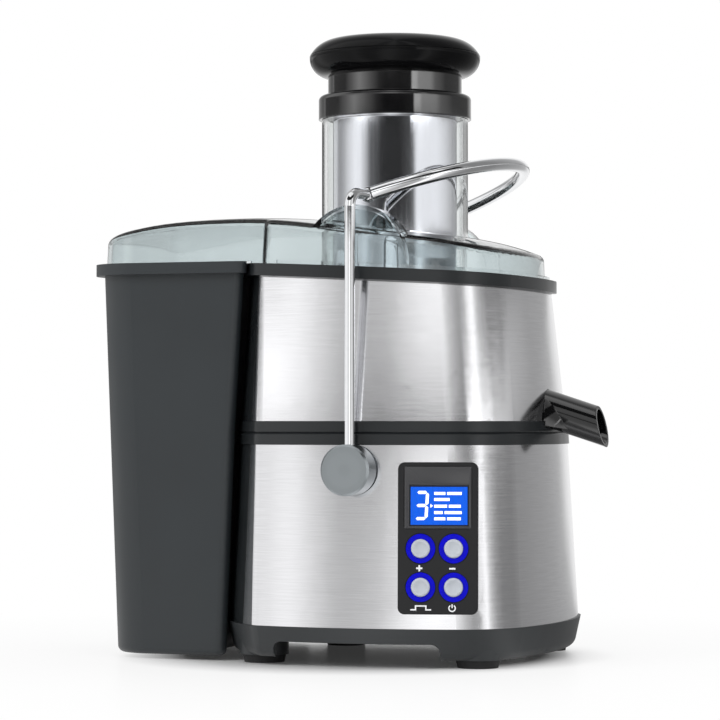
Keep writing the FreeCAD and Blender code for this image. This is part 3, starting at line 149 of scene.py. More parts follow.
def add(material, kind, inputs=None, **settings):
    """Adds a node, sets its options and fills its inputs with values or links."""
    tree = material.node_tree
    node = tree.nodes.new(kind)
    for key, value in settings.items():
        setattr(node, key, value)
    for key, value in (inputs or {}).items():
        if isinstance(value, bpy.types.NodeSocket):
            tree.links.new(value, node.inputs[key])
        else:
            node.inputs[key].default_value = value
    return node


def surface(name, **values):
    """New material with its main shader's sockets set."""
    material = bpy.data.materials.new(name)
    material.use_nodes = True
    shader = material.node_tree.nodes["Principled BSDF"]
    for key, value in values.items():
        shader.inputs[key.replace("_", " ")].default_value = value
    return material, shader


def feed(material, shader, **outputs):
    """Links outputs to the shader's sockets."""
    for key, output in outputs.items():
        material.node_tree.links.new(output, shader.inputs[key.replace("_", " ")])


def vary(material, shader, pattern, base, tones, roughness=None):
    """Lets a pattern run the colour between two shares of base, and the roughness between two values."""
    ramp = add(material, "ShaderNodeValToRGB", {"Fac": pattern})
    for stop, position, share in zip(ramp.color_ramp.elements, PATTERN_RANGE, tones):
        stop.position = position
        stop.color = [min(1.0, c * share) for c in base[:3]] + [1.0]
    feed(material, shader, Base_Color=ramp.outputs["Color"])
    if roughness:
        finish = add(material, "ShaderNodeMapRange", {
            "Value": pattern, "From Min": PATTERN_RANGE[0], "From Max": PATTERN_RANGE[1],
            "To Min": roughness[0], "To Max": roughness[1]})
        feed(material, shader, Roughness=finish.outputs["Result"])
    return ramp.outputs["Color"]


def compass_ramp(material, vector, stops):
    """Grey levels by compass direction, in degrees from the front towards the spout."""
    where = add(material, "ShaderNodeSeparateXYZ", {"Vector": vector})
    front = add(material, "ShaderNodeMath", {0: where.outputs["Y"], 1: -1.0}, operation="MULTIPLY")
    around = add(material, "ShaderNodeMath", {0: where.outputs["X"], 1: front.outputs["Value"]}, operation="ARCTAN2")
    share = add(material, "ShaderNodeMapRange", {"Value": around.outputs["Value"], "From Min": -math.pi,
                                                 "From Max": math.pi, "To Min": 0.0, "To Max": 1.0})
    ramp = add(material, "ShaderNodeValToRGB", {"Fac": share.outputs["Result"]})
    fill_ramp(ramp, [((degrees + 180) / 360, level) for degrees, level in stops])
    return ramp.outputs["Color"]


def mirrored_only(material, plain, levels):
    """Colour that is plain seen straight or through the lid, and the studio's levels in a reflection."""
    rays = add(material, "ShaderNodeLightPath")
    mirrored = add(material, "ShaderNodeMath", {0: rays.outputs["Glossy Depth"], 1: 1.0}, operation="MINIMUM")
    shown = add(material, "ShaderNodeMix", {"Factor": mirrored.outputs["Value"], MIX_A: plain, MIX_B: levels},
                data_type="RGBA")
    return shown.outputs[MIX_RESULT]


def fill_ramp(ramp, stops):
    """Puts grey levels at places along a ramp."""
    elements = ramp.color_ramp.elements
    while len(elements) < len(stops):
        elements.new(1.0)
    for element, (position, level) in zip(elements, stops):
        element.position = position
        element.color = (level, level, level, 1.0)


def rounded_bump(material, height, strength, distance, radius):
    """Bump over softly rounded edges."""
    edge = add(material, "ShaderNodeBevel", {"Radius": radius}, samples=4)
    bump = add(material, "ShaderNodeBump", {"Height": height, "Strength": strength, "Distance": distance,
                                            "Normal": edge.outputs["Normal"]})
    return bump.outputs["Normal"]


def dress(names, material):
    """Gives CAD nodes a material."""
    for name in names:
        NODES[name].data.materials.clear()
        NODES[name].data.materials.append(material)


def sharpen(bm, limit=35.0):
    """Smooth faces with sharp edges past an angle."""
    for face in bm.faces:
        face.smooth = True
    for edge in bm.edges:
        edge.smooth = not (edge.is_manifold and edge.calc_face_angle(0.0) > math.radians(limit))


def settle(bm, name, material):
    """Turns a bmesh into an object of the scene."""
    mesh = bpy.data.meshes.new(name)
    bm.to_mesh(mesh)
    bm.free()
    mesh.materials.append(material)
    item = bpy.data.objects.new(name, mesh)
    bpy.context.scene.collection.objects.link(item)
    return item


def place(bm, name, material, body, matrix):
    """Makes a piece of a bmesh drawn on the panel, riding on a body."""
    bmesh.ops.transform(bm, matrix=matrix, verts=bm.verts)
    bmesh.ops.remove_doubles(bm, verts=bm.verts, dist=1e-6)
    bmesh.ops.recalc_face_normals(bm, faces=bm.faces)
    sharpen(bm)
    piece = settle(bm, name, material)
    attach(piece, body)
    return piece


def panel_frame(sizes):
    """Matrix from the panel's own axes, across, up and out, to the row frame."""
    side_radius = SIDE_RADIUS * MM
    yaw = math.asin(sizes.panel_x / side_radius)
    lean = math.atan2(WRAP_LEAN, WRAP_RISE)
    out = Vector((math.sin(yaw) * math.cos(lean), -math.cos(yaw) * math.cos(lean), math.sin(lean)))
    across = Vector((math.cos(yaw), math.sin(yaw), 0.0))
    up = out.cross(across)
    depth = (WRAP_DEPTH - WRAP_LEAN * (sizes.panel_z / MM - WRAP_FOOT_Z) / WRAP_RISE) * MM
    y = side_radius - depth - math.sqrt(side_radius ** 2 - sizes.panel_x ** 2)
    matrix = Matrix((across, up, out)).transposed().to_4x4()
    matrix.translation = (sizes.axis_x + sizes.panel_x, y, sizes.panel_z)
    return matrix


def thicken(bm, faces, height):
    """Raises faces by a height in millimetres."""
    grown = bmesh.ops.extrude_face_region(bm, geom=faces)["geom"]
    corners = [item for item in grown if isinstance(item, bmesh.types.BMVert)]
    bmesh.ops.translate(bm, verts=corners, vec=(0.0, 0.0, height * MM))


def slab(bm, outline, low, high):
    """Flat raised shape from an outline in millimetres."""
    face = bm.faces.new([bm.verts.new((u * MM, v * MM, low * MM)) for u, v in outline])
    thicken(bm, [face], high - low)


def bar(bm, u, v, width, height, low, high):
    """Raised rectangle about a middle."""
    slab(bm, [(u + across * width / 2, v + up * height / 2) for across, up in CORNERS], low, high)


def turn(bm, profile, steps, centre=(0.0, 0.0), sweep=360.0):
    """Spins a profile of (radius, height) in millimetres about the Z axis through a centre."""
    hub = Vector((centre[0] * MM, centre[1] * MM, 0.0))
    points = [bm.verts.new(hub + Vector((r * MM, 0.0, z * MM))) for r, z in profile]
    edges = [bm.edges.new(pair) for pair in zip(points, points[1:])]
    bmesh.ops.spin(bm, geom=points + edges, cent=hub, axis=Z_AXIS, dvec=ORIGIN, angle=math.radians(sweep),
                   steps=steps, use_merge=sweep == 360.0, use_duplicate=False)


# Materials

def brushed_stainless(name, base, sizes):
    """Stainless sheet brushed round the body: fine level lines that stretch its reflections upright."""
    material, shader = surface(name, Metallic=1.0, Anisotropic=0.25, Anisotropic_Rotation=0.25)
    where = add(material, "ShaderNodeTexCoord").outputs["Object"]
    grain = add(material, "ShaderNodeMapping", {
        "Vector": where, "Scale": (1 / sizes.grain_length, 1 / sizes.grain_length, 1 / sizes.grain_width)})
    lines = add(material, "ShaderNodeTexNoise", {
        "Vector": grain.outputs["Vector"], "Scale": 1.0, "Detail": 4.0, "Roughness": 0.65}).outputs["Fac"]
    bump = add(material, "ShaderNodeBump", {"Height": lines, "Strength": 0.08, "Distance": 0.02 * MM})
    tangent = add(material, "ShaderNodeTangent", direction_type="RADIAL", axis="Z")
    vary(material, shader, lines, base, (0.91, 1.03), (0.12, 0.17))
    feed(material, shader, Normal=bump.outputs["Normal"], Tangent=tangent.outputs["Tangent"])
    return material


def rolled_stainless(name, base):
    """Bright-rolled stainless tube: a soft mirror with faint upright draw marks."""
    material, shader = surface(name, Metallic=1.0)
    where = add(material, "ShaderNodeTexCoord").outputs["Object"]
    marks = add(material, "ShaderNodeMapping", {
        "Vector": where, "Scale": (1 / (1.2 * MM), 1 / (1.2 * MM), 1 / (60.0 * MM))})
    drawn = add(material, "ShaderNodeTexNoise", {
        "Vector": marks.outputs["Vector"], "Scale": 1.0, "Detail": 3.0, "Roughness": NOISE_ROUGHNESS}).outputs["Fac"]
    vary(material, shader, drawn, base, (0.97, 1.0), (0.03, 0.06))
    return material


def moulded_abs(name, base, sizes, low, high, strength=0.25, edge=0.6, shine=0.5):
    """Moulded ABS with a fine spark grain: soft sheen, slightly uneven in tone."""
    material, shader = surface(name, IOR=1.54, Specular_IOR_Level=shine)
    where = add(material, "ShaderNodeTexCoord").outputs["Object"]
    grain, cloud = [add(material, "ShaderNodeTexNoise", {
        "Vector": where, "Scale": 1 / spacing, "Detail": 2.0, "Roughness": NOISE_ROUGHNESS}).outputs["Fac"]
        for spacing in (sizes.moulding_grain, 45.0 * MM)]
    vary(material, shader, cloud, base, (0.92, 1.08), (low, high))
    feed(material, shader, Normal=rounded_bump(material, grain, strength, 0.03 * MM, edge * MM))
    return material


def polished_abs(name, base, shine):
    """Mirror-moulded black ABS: deep gloss with faint handling marks."""
    material, shader = surface(name, IOR=1.5, Specular_IOR_Level=shine)
    where = add(material, "ShaderNodeTexCoord").outputs["Object"]
    marks, ripple = [add(material, "ShaderNodeTexNoise", {
        "Vector": where, "Scale": 1 / (spacing * MM), "Detail": detail, "Roughness": NOISE_ROUGHNESS}).outputs["Fac"]
        for spacing, detail in ((22.0, 4.0), (9.0, 1.0))]
    vary(material, shader, marks, base, (0.9, 1.1), (0.04, 0.08))
    feed(material, shader, Normal=rounded_bump(material, ripple, 0.04, 0.05 * MM, 0.8 * MM))
    return material


def clear_polycarbonate(name, base, roughness):
    """Smoke-tinted clear polycarbonate: sees through, with bright rims and slight mould waviness."""
    material, shader = surface(name, IOR=1.45, Transmission_Weight=1.0)
    where = add(material, "ShaderNodeTexCoord").outputs["Object"]
    waves = add(material, "ShaderNodeTexNoise", {
        "Vector": where, "Scale": 1 / (35.0 * MM), "Detail": 1.0, "Roughness": NOISE_ROUGHNESS}).outputs["Fac"]
    bump = add(material, "ShaderNodeBump", {"Height": waves, "Strength": 0.015, "Distance": 0.2 * MM})
    vary(material, shader, waves, base, (0.98, 1.02), (roughness, roughness * 1.5))
    feed(material, shader, Normal=bump.outputs["Normal"])
    return material


def polished_chrome(name, base):
    """Chrome plate on bent rod: mirror-bright with very faint polishing haze."""
    material, shader = surface(name, Metallic=1.0)
    where = add(material, "ShaderNodeTexCoord").outputs["Object"]
    haze = add(material, "ShaderNodeTexNoise", {
        "Vector": where, "Scale": 1 / (6.0 * MM), "Detail": 4.0, "Roughness": NOISE_ROUGHNESS}).outputs["Fac"]
    vary(material, shader, haze, base, (0.97, 1.02), (0.05, 0.10))
    return material


def turned_aluminium(name, base, centre):
    """Lathe-turned aluminium: rings round the pivot that fan the light, drawn broad enough to show."""
    material, shader = surface(name, Metallic=1.0)
    where = add(material, "ShaderNodeTexCoord").outputs["Object"]
    shift = add(material, "ShaderNodeMapping", {"Vector": where, "Location": [-c for c in centre]})
    spacing = 13.82 * MM
    rings = add(material, "ShaderNodeTexWave", {
        "Vector": shift.outputs["Vector"], "Scale": math.tau / (spacing * WAVE_PHASE), "Distortion": 0.4,
        "Detail": 2.0}, wave_type="RINGS", rings_direction="Y").outputs["Fac"]
    bump = add(material, "ShaderNodeBump", {"Height": rings, "Strength": 0.03, "Distance": 0.02 * MM})
    vary(material, shader, rings, base, (0.98, 1.01), (0.28, 0.32))
    feed(material, shader, Normal=bump.outputs["Normal"])
    return material


def rubber(name, base):
    """Moulded rubber: dull, a little dusty."""
    material, shader = surface(name, IOR=1.52)
    where = add(material, "ShaderNodeTexCoord").outputs["Object"]
    dust = add(material, "ShaderNodeTexNoise", {
        "Vector": where, "Scale": 1 / (5.0 * MM), "Detail": 4.0, "Roughness": NOISE_ROUGHNESS}).outputs["Fac"]
    bump = add(material, "ShaderNodeBump", {"Height": dust, "Strength": 0.2, "Distance": 0.05 * MM})
    vary(material, shader, dust, base, (0.85, 1.25), (0.7, 0.85))
    feed(material, shader, Normal=bump.outputs["Normal"])
    return material


def lit_display(name, base):
    """Back-lit liquid crystal: even blue glow with its fine dot grid, drawn coarse enough to show."""
    material, shader = surface(name, IOR=1.5, Roughness=0.12, Specular_IOR_Level=0.15, Emission_Strength=0.45)
    where = add(material, "ShaderNodeTexCoord").outputs["Object"]
    glow = add(material, "ShaderNodeTexNoise", {
        "Vector": where, "Scale": 1 / (14.0 * MM), "Detail": 1.0, "Roughness": NOISE_ROUGHNESS}).outputs["Fac"]
    dimmer, line = [[c * share for c in base[:3]] + [1.0] for share in (0.96, 0.8)]
    dot_row = 0.9 * MM
    dots = add(material, "ShaderNodeTexBrick", {
        "Vector": where, "Scale": 1 / (dot_row * BRICK_ROWS), "Color1": base, "Color2": dimmer, "Mortar": line,
        "Mortar Size": 0.02})
    shade = add(material, "ShaderNodeMix", {"Factor": glow, MIX_A: dots.outputs["Color"], MIX_B: base},
                data_type="RGBA").outputs[MIX_RESULT]
    feed(material, shader, Base_Color=shade, Emission_Color=shade)
    return material


def glowing_ring(name, base):
    """Saturated translucent acrylic lit from behind."""
    material, shader = surface(name, IOR=1.49, Roughness=0.25, Specular_IOR_Level=0.12, Emission_Strength=0.15)
    where = add(material, "ShaderNodeTexCoord").outputs["Object"]
    glow = add(material, "ShaderNodeTexNoise", {
        "Vector": where, "Scale": 1 / (4.0 * MM), "Detail": 1.0, "Roughness": NOISE_ROUGHNESS}).outputs["Fac"]
    feed(material, shader, Emission_Color=vary(material, shader, glow, base, (0.9, 1.1)))
    return material


def painted_ink(name, base, glow=0.0):
    """Screen-printed ink with a slight tooth."""
    material, shader = surface(name, IOR=1.5, Roughness=0.5, Emission_Strength=glow)
    where = add(material, "ShaderNodeTexCoord").outputs["Object"]
    tooth = add(material, "ShaderNodeTexNoise", {
        "Vector": where, "Scale": 1 / (0.5 * MM), "Detail": 2.0, "Roughness": NOISE_ROUGHNESS}).outputs["Fac"]
    feed(material, shader, Emission_Color=vary(material, shader, tooth, base, (0.95, 1.0)))
    return material


def machined_steel(name, base):
    """Ground and pressed steel inside the body."""
    material, shader = surface(name, Metallic=1.0)
    where = add(material, "ShaderNodeTexCoord").outputs["Object"]
    marks = add(material, "ShaderNodeTexNoise", {
        "Vector": where, "Scale": 1 / (1.5 * MM), "Detail": 3.0, "Roughness": NOISE_ROUGHNESS}).outputs["Fac"]
    vary(material, shader, marks, base, (0.9, 1.05), (0.28, 0.42))
    return material


def wound_copper(name, base):
    """Enamelled copper wire wound in layers, drawn coarse enough to show; painted shade darkens the grooves."""
    material, shader = surface(name, Metallic=1.0)
    where = add(material, "ShaderNodeTexCoord").outputs["Object"]
    spacing = 6.28 * MM
    turns = add(material, "ShaderNodeTexWave", {
        "Vector": where, "Scale": math.tau / (spacing * WAVE_PHASE), "Distortion": 1.5},
        wave_type="BANDS", bands_direction="Z").outputs["Fac"]
    bump = add(material, "ShaderNodeBump", {"Height": turns, "Strength": 0.5, "Distance": 0.3 * MM})
    # The colour drops to 0.7 of base in the grooves between turns, where the bump is low: painted shade
    vary(material, shader, turns, base, (0.7, 1.05), (0.3, 0.4))
    feed(material, shader, Normal=bump.outputs["Normal"])
    return material


# Operators

class JUICER_OT_steel(bpy.types.Operator):
    """Brush the steel wraps and the pusher's sleeve"""
    bl_idname = "juicer.steel"
    bl_label = "Steel wraps"

    def execute(self, context):
        finishes, sizes = context.scene.juicer_finishes, context.scene.juicer_sizes
        dress(["lower_steel_wrap", "bowl_steel_wrap"], brushed_stainless("brushed_stainless", finishes.steel, sizes))
        dress(["pusher_sleeve"], rolled_stainless("rolled_stainless", linear("#f7f6fc")))
        return {"FINISHED"}


class JUICER_OT_mouldings(bpy.types.Operator):
    """Grain the housing, bowl, spout, bin and base"""
    bl_idname = "juicer.mouldings"
    bl_label = "Mouldings"

    def execute(self, context):
        finishes, sizes = context.scene.juicer_finishes, context.scene.juicer_sizes
        dress(["motor_housing", "juice_bowl"],
              moulded_abs("satin_abs", finishes.band, sizes, 0.26, 0.36, 0.1, shine=0.42))
        dress(["juice_spout"], polished_abs("polished_spout_abs", finishes.gloss_black, 0.9))
        dress(["pulp_bin"], moulded_abs("spark_grained_abs", finishes.slate, sizes, 0.40, 0.5))
        dress(["base_tray"], moulded_abs("matte_abs", finishes.base, sizes, 0.42, 0.52))
        dress(["rubber_feet", "motor_dampers", "shaft_seal", "cord_gland"], rubber("moulded_rubber", linear("#1d1d1e")))
        return {"FINISHED"}


class JUICER_OT_lid(bpy.types.Operator):
    """Clear the lid and the feed chute"""
    bl_idname = "juicer.lid"
    bl_label = "Lid and chute"

    def execute(self, context):
        finishes = context.scene.juicer_finishes
        dress(["lid_cover"], clear_polycarbonate("smoked_polycarbonate", finishes.smoke, 0.03))
        dress(["feed_chute"], clear_polycarbonate("clear_polycarbonate", linear("#f8fafa"), 0.02))
        return {"FINISHED"}


class JUICER_OT_pusher(bpy.types.Operator):
    """Polish the pusher's cap and collar"""
    bl_idname = "juicer.pusher"
    bl_label = "Pusher"

    def execute(self, context):
        finishes, sizes = context.scene.juicer_finishes, context.scene.juicer_sizes
        dress(["pusher_knob"], polished_abs("polished_knob_abs", finishes.gloss_black, 0.1))
        dress(["pusher_collar", "pusher_neck"], polished_abs("polished_abs", finishes.gloss_black, 1.0))
        dress(["pusher_foot", "basket_hub", "basket_rim", "drive_coupling"],
              moulded_abs("satin_black_abs", linear("#1b1b1c"), sizes, 0.25, 0.4, 0.1))
        return {"FINISHED"}


class JUICER_OT_arm(bpy.types.Operator):
    """Plate the locking arm and turn its pivot caps"""
    bl_idname = "juicer.arm"
    bl_label = "Locking arm"

    def execute(self, context):
        finishes = context.scene.juicer_finishes
        dress(["arm_rods", "arm_handle"], polished_chrome("chrome_plate", finishes.chrome))
        low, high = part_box("pivot_caps")
        dress(["pivot_caps"], turned_aluminium("turned_aluminium", finishes.cap_metal, (low + high) / 2))
        return {"FINISHED"}


class JUICER_OT_works(bpy.types.Operator):
    """Finish the motor, basket and electronics inside"""
    bl_idname = "juicer.works"
    bl_label = "Inner works"

    def execute(self, context):
        sizes = context.scene.juicer_sizes
        dress(["base_screws", "motor_bolts", "motor_shaft", "bearing_bottom", "bearing_top", "pivot_pins",
               "stator_core", "armature_core", "grater_disc", "filter_basket", "interlock_cam"],
              machined_steel("ground_steel", linear("#b9bbbd")))
        dress(["motor_bracket_bottom", "motor_bracket_top"], machined_steel("die_cast_aluminium", linear("#c3c5c8")))
        dress(["field_coils", "armature_winding", "commutator"], wound_copper("enamelled_copper", linear("#b8703d")))
        dress(["speed_board", "control_board"], moulded_abs("circuit_laminate", linear("#1f5a36"), sizes, 0.35, 0.5))
        dress(["interlock_switch", "brush_holders", "cooling_fan"],
              moulded_abs("black_nylon", linear("#2a2a2b"), sizes, 0.4, 0.5))
        dress(["pivot_bushes"], moulded_abs("acetal", linear("#d9d5ca"), sizes, 0.3, 0.4))
        return {"FINISHED"}


class JUICER_OT_panel(bpy.types.Operator):
    """Build the display's frame, its lit marks and the printed signs"""
    bl_idname = "juicer.panel"
    bl_label = "Control panel"

    def execute(self, context):
        finishes, sizes = context.scene.juicer_finishes, context.scene.juicer_sizes
        matrix = panel_frame(sizes)
        face = sizes.panel_proud / MM
        dress(["control_panel"], moulded_abs("panel_abs", finishes.panel, sizes, 0.3, 0.4, 0.15, 1.0, 0.3))
        dress(["button_rings"], glowing_ring("lit_acrylic", finishes.ring))
        self.display(matrix, face, finishes, sizes)
        lit = painted_ink("lit_marks", finishes.ink, 0.6)
        ink = painted_ink("screen_ink", finishes.ink)

        marks = bmesh.new()
        low, high = face - DISPLAY_SUNK, face - DISPLAY_SUNK + MARK_RAISED
        self.digit(marks, (-9.6, 19.0), 8.0, 17.0, 1.8, low, high)
        slab(marks, [(-4.4, 17.7), (-2.9, 18.8), (-4.4, 19.9)], low, high)
        # Plain bars, each row at its height with its bars' lengths
        rows = ((26.0, (6.5, 8.5)), (22.5, (9.0,)), (18.6, (7.5, 7.0)), (14.9, (5.0, 10.0)), (11.3, (6.5, 8.0)))
        row_start, row_height, row_gap = -2.2, 1.7, 1.0
        for v, lengths in rows:
            u = row_start
            for width in lengths:
                bar(marks, u + width / 2, v, width, row_height, low, high)
                u += width + row_gap
        place(marks, "display_marks", lit, "motor_base", matrix)

        signs = bmesh.new()
        low, high = face, face + SIGN_RAISED
        # Plus, in three bars that only touch, and minus
        for u, v, width, height in ((-10.7, -17.4, 3.6, 1.0), (-10.7, -16.25, 1.0, 1.3), (-10.7, -18.55, 1.0, 1.3),
                                    (8.5, -17.6, 3.6, 1.0)):
            bar(signs, u, v, width, height, low, high)
        wave = [(-6.0, -1.4), (-2.6, -1.4), (-2.6, 0.8), (2.6, 0.8), (2.6, -1.4), (6.0, -1.4),
                (6.0, -0.6), (3.4, -0.6), (3.4, 1.6), (-3.4, 1.6), (-3.4, -0.6), (-6.0, -0.6)]
        slab(signs, [(u - 9.8, v - 40.4) for u, v in wave], low, high)
        self.power(signs, (8.4, -40.4), low, high)
        place(signs, "button_signs", ink, "motor_base", matrix)
        return {"FINISHED"}

    def display(self, matrix, face, finishes, sizes):
        """Sloping frame round a sunk, lit display."""
        outer = [(u * 19.5, 23.6 + v * 18.0) for u, v in CORNERS]
        inner = [(0.6 + u * 17.2, 18.8 + v * 11.7) for u, v in CORNERS]
        shown = [(0.6 + u * 16.5, 18.8 + v * 11.0) for u, v in CORNERS]
        deep = face - DISPLAY_SUNK
        bm = bmesh.new()
        loops = []
        for outline, out in ((outer, deep), (outer, face + 0.25), (inner, deep), (inner, deep - 0.05)):
            loops.append([bm.verts.new((u * MM, v * MM, out * MM)) for u, v in outline])
        rings = [[bm.edges.new((loop[k], loop[k - 1])) for k in range(4)] for loop in loops]
        for near, far in zip(rings, rings[1:] + rings[:1]):
            bmesh.ops.bridge_loops(bm, edges=near + far)
        bmesh.ops.bevel(bm, geom=rings[1], offset=0.35 * MM, offset_type="OFFSET", affect="EDGES", segments=3,
                        profile=0.5, material=-1)
        frame_piece = place(bm, "display_frame", moulded_abs("bezel_abs", finishes.bezel, sizes, 0.2, 0.3, 0.05),
                            "motor_base", matrix)
        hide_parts("display_lens")
        bm = bmesh.new()
        slab(bm, shown, -8.0, deep)
        glass = place(bm, "display_glass", lit_display("lit_display", finishes.display), "motor_base",
                      matrix)
        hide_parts("lcd_module")

    def digit(self, bm, centre, width, height, stroke, low, high):
        """Five lit strokes of a seven-stroke figure, leaning a little."""
        u, v = centre
        half, gap = stroke / 2, 0.25
        across, up = width / 2 - half, height / 2 - half
        level = [(-across + gap, 0), (-across + gap + half, half), (across - gap - half, half),
                 (across - gap, 0), (across - gap - half, -half), (-across + gap + half, -half)]
        upright = [(0, gap), (half, gap + half), (half, up - gap - half), (0, up - gap),
                   (-half, up - gap - half), (-half, gap + half)]
        strokes = [[(x, y + shift) for x, y in level] for shift in (up, 0, -up)]
        strokes += [[(x + across, y + shift) for x, y in upright] for shift in (0, -up)]
        for outline in strokes:
            slab(bm, [(u + x + 0.06 * y, v + y) for x, y in outline], low, high)

    def power(self, bm, centre, low, high):
        """Broken ring with an upright stroke through its gap."""
        bar(bm, centre[0], centre[1] + 1.2, 0.7, 2.2, low, high)
        sign = bmesh.new()
        turn(sign, [(1.5, low), (2.2, low)], 28, sweep=290.0)
        thicken(sign, sign.faces[:], high - low)
        bmesh.ops.rotate(sign, verts=sign.verts, cent=ORIGIN, matrix=Matrix.Rotation(math.radians(125.0), 3, "Z"))
        bmesh.ops.translate(sign, verts=sign.verts, vec=(centre[0] * MM, centre[1] * MM, 0.0))
        mesh = bpy.data.meshes.new("power_sign")
        sign.to_mesh(mesh)
        sign.free()
        bm.from_mesh(mesh)
        bpy.data.meshes.remove(mesh)


class JUICER_OT_buttons(bpy.types.Operator):
    """Spin the four dished button caps"""
    bl_idname = "juicer.buttons"
    bl_label = "Buttons"

    def execute(self, context):
        finishes, sizes = context.scene.juicer_finishes, context.scene.juicer_sizes
        matrix = panel_frame(sizes)
        top = sizes.panel_proud / MM + CAP_PROUD
        radius = sizes.button_radius / MM
        material = moulded_abs("pearl_abs", finishes.cap, sizes, 0.14, 0.2, 0.03)
        profile = [(0.0, top - 1.5), (0.9, top - 1.45), (1.8, top - 1.28), (2.7, top - 0.95), (3.5, top - 0.48),
                   (4.0, top - 0.12), (4.4, top), (4.9, top - 0.1), (5.3, top - 0.4), (radius, top - 0.9),
                   (radius, -4.0), (0.0, -4.0)]
        spots = {"button_plus": (-10.0, -6.0), "button_minus": (9.2, -6.0),
                 "button_pulse": (-10.0, -28.4), "button_power": (9.2, -28.4)}
        for name, centre in spots.items():
            bm = bmesh.new()
            turn(bm, profile, 48, centre)
            piece = place(bm, name + "_cap", material, name, matrix)
            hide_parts(name)
        return {"FINISHED"}


class JUICER_OT_stage(bpy.types.Operator):
    """Set the floor, the soft studio light and the camera"""
    bl_idname = "juicer.stage"
    bl_label = "Stage"

    def execute(self, context):
        scene = context.scene
        scene.view_settings.view_transform = "Standard"
        self.floor()
        self.world(scene)
        self.cards()
        self.lamps(scene)
        self.camera(scene, scene.juicer_stage, scene.juicer_sizes.axis_x)
        return {"FINISHED"}

    def floor(self):
        """White floor that keeps the object's shadow."""
        bm = bmesh.new()
        bmesh.ops.create_grid(bm, x_segments=1, y_segments=1, size=6.0)
        bmesh.ops.translate(bm, verts=bm.verts, vec=(0.0, 0.0, -0.2 * MM))
        material, shader = surface("white_sweep", Base_Color=(0.86, 0.86, 0.86, 1.0), Roughness=0.3)
        where = add(material, "ShaderNodeTexCoord").outputs["Object"]
        shown = mirrored_only(material, WHITE, compass_ramp(material, where, STUDIO))
        bright = add(material, "ShaderNodeEmission", {"Color": shown, "Strength": 1.0})
        # The white gives way to the lit floor, and so to the shadow, within these metres of the middle
        away = add(material, "ShaderNodeVectorMath", {0: where}, operation="LENGTH")
        fade = add(material, "ShaderNodeValToRGB", {"Fac": away.outputs["Value"]})
        fill_ramp(fade, ((0.11, 0.03), (0.155, 0.8), (0.45, 1.0)))
        rays = add(material, "ShaderNodeLightPath")
        seen = add(material, "ShaderNodeMath", {0: rays.outputs["Is Camera Ray"], 1: rays.outputs["Is Glossy Ray"]},
                   operation="MAXIMUM")
        share = add(material, "ShaderNodeMath", {0: seen.outputs["Value"], 1: fade.outputs["Color"]},
                    operation="MULTIPLY")
        mixed = add(material, "ShaderNodeMixShader", {"Fac": share.outputs["Value"], 1: shader.outputs["BSDF"],
                                                      2: bright.outputs["Emission"]})
        end = material.node_tree.nodes["Material Output"]
        material.node_tree.links.new(mixed.outputs["Shader"], end.inputs["Surface"])
        settle(bm, "floor", material)

    def world(self, scene):
        """Even light on the object, white seen straight or through the lid, studio levels in reflections."""
        world = bpy.data.worlds.new("studio")
        scene.world = world
        world.use_nodes = True
        background = world.node_tree.nodes["Background"]
        levels = compass_ramp(world, add(world, "ShaderNodeTexCoord").outputs["Generated"], STUDIO)
        rays = add(world, "ShaderNodeLightPath")
        straight = add(world, "ShaderNodeMath", {
            0: rays.outputs["Is Camera Ray"], 1: rays.outputs["Is Transmission Ray"]}, operation="MAXIMUM")
        plain = add(world, "ShaderNodeMix", {
            "Factor": straight.outputs["Value"], MIX_A: (0.55, 0.55, 0.55, 1.0), MIX_B: WHITE}, data_type="RGBA")
        shown = mirrored_only(world, plain.outputs[MIX_RESULT], levels)
        world.node_tree.links.new(shown, background.inputs["Color"])
        background.inputs["Strength"].default_value = 1.0

    def cards(self):
        """Curved cards with dark and lit stretches, seen only as reflections, and white straight through the lid."""
        tube = ((-180, 0.4), (-165, 0.06), (-140, 0.06), (-132, 0.9), (-115, 0.8), (-105, 0.3), (-96, 0.3), (-85, 0.47),
                (-75, 0.72), (-58, 1.0), (-48, 1.0), (-40, 0.73), (-26, 0.14), (-2, 0.03), (27, 0.03), (46, 0.08),
                (52, 0.2), (59, 0.95), (100, 0.98), (122, 0.75), (149, 0.4), (180, 0.4))
        collar = ((-110, 0.2), (-75, 0.22), (-60, 0.9), (-44, 2.0), (-22, 0.8), (-8, 0.2), (4, 0.01), (30, 0.03),
                  (47.5, 0.1), (48, 4.5), (56, 4.2), (60, 2.6), (82, 2.2), (92, 1.0), (115, 0.3), (160, 0.2))
        dark = ((-70, 0.02), (85, 0.02))
        for name, low, high, stops in (("tube_card", 0.42, 0.586, tube), ("collar_card", 0.586, 0.68, collar),
                                       ("high_card", 2.0, 4.0, dark)):
            bm = bmesh.new()
            edge = [bm.verts.new((0.0, -CARD_RADIUS, z)) for z in (low, high)]
            line = bm.edges.new(edge)
            first, last = math.radians(stops[0][0]), math.radians(stops[-1][0])
            bmesh.ops.spin(bm, geom=edge + [line], cent=ORIGIN, axis=Z_AXIS, dvec=ORIGIN, angle=last - first,
                           steps=40, use_merge=False, use_duplicate=False)
            bmesh.ops.rotate(bm, verts=bm.verts, cent=ORIGIN, matrix=Matrix.Rotation(first, 3, "Z"))
            top = max(level for degrees, level in stops)
            material, shader = surface(name, Base_Color=(0.0, 0.0, 0.0, 1.0), Specular_IOR_Level=0.0,
                                       Emission_Strength=top)
            where = add(material, "ShaderNodeTexCoord").outputs["Object"]
            levels = compass_ramp(material, where, [(degrees, level / top) for degrees, level in stops])
            white = (1 / top, 1 / top, 1 / top, 1.0)
            feed(material, shader, Emission_Color=mirrored_only(material, white, levels))
            card = settle(bm, name, material)
            card.visible_camera = card.visible_diffuse = card.visible_shadow = False

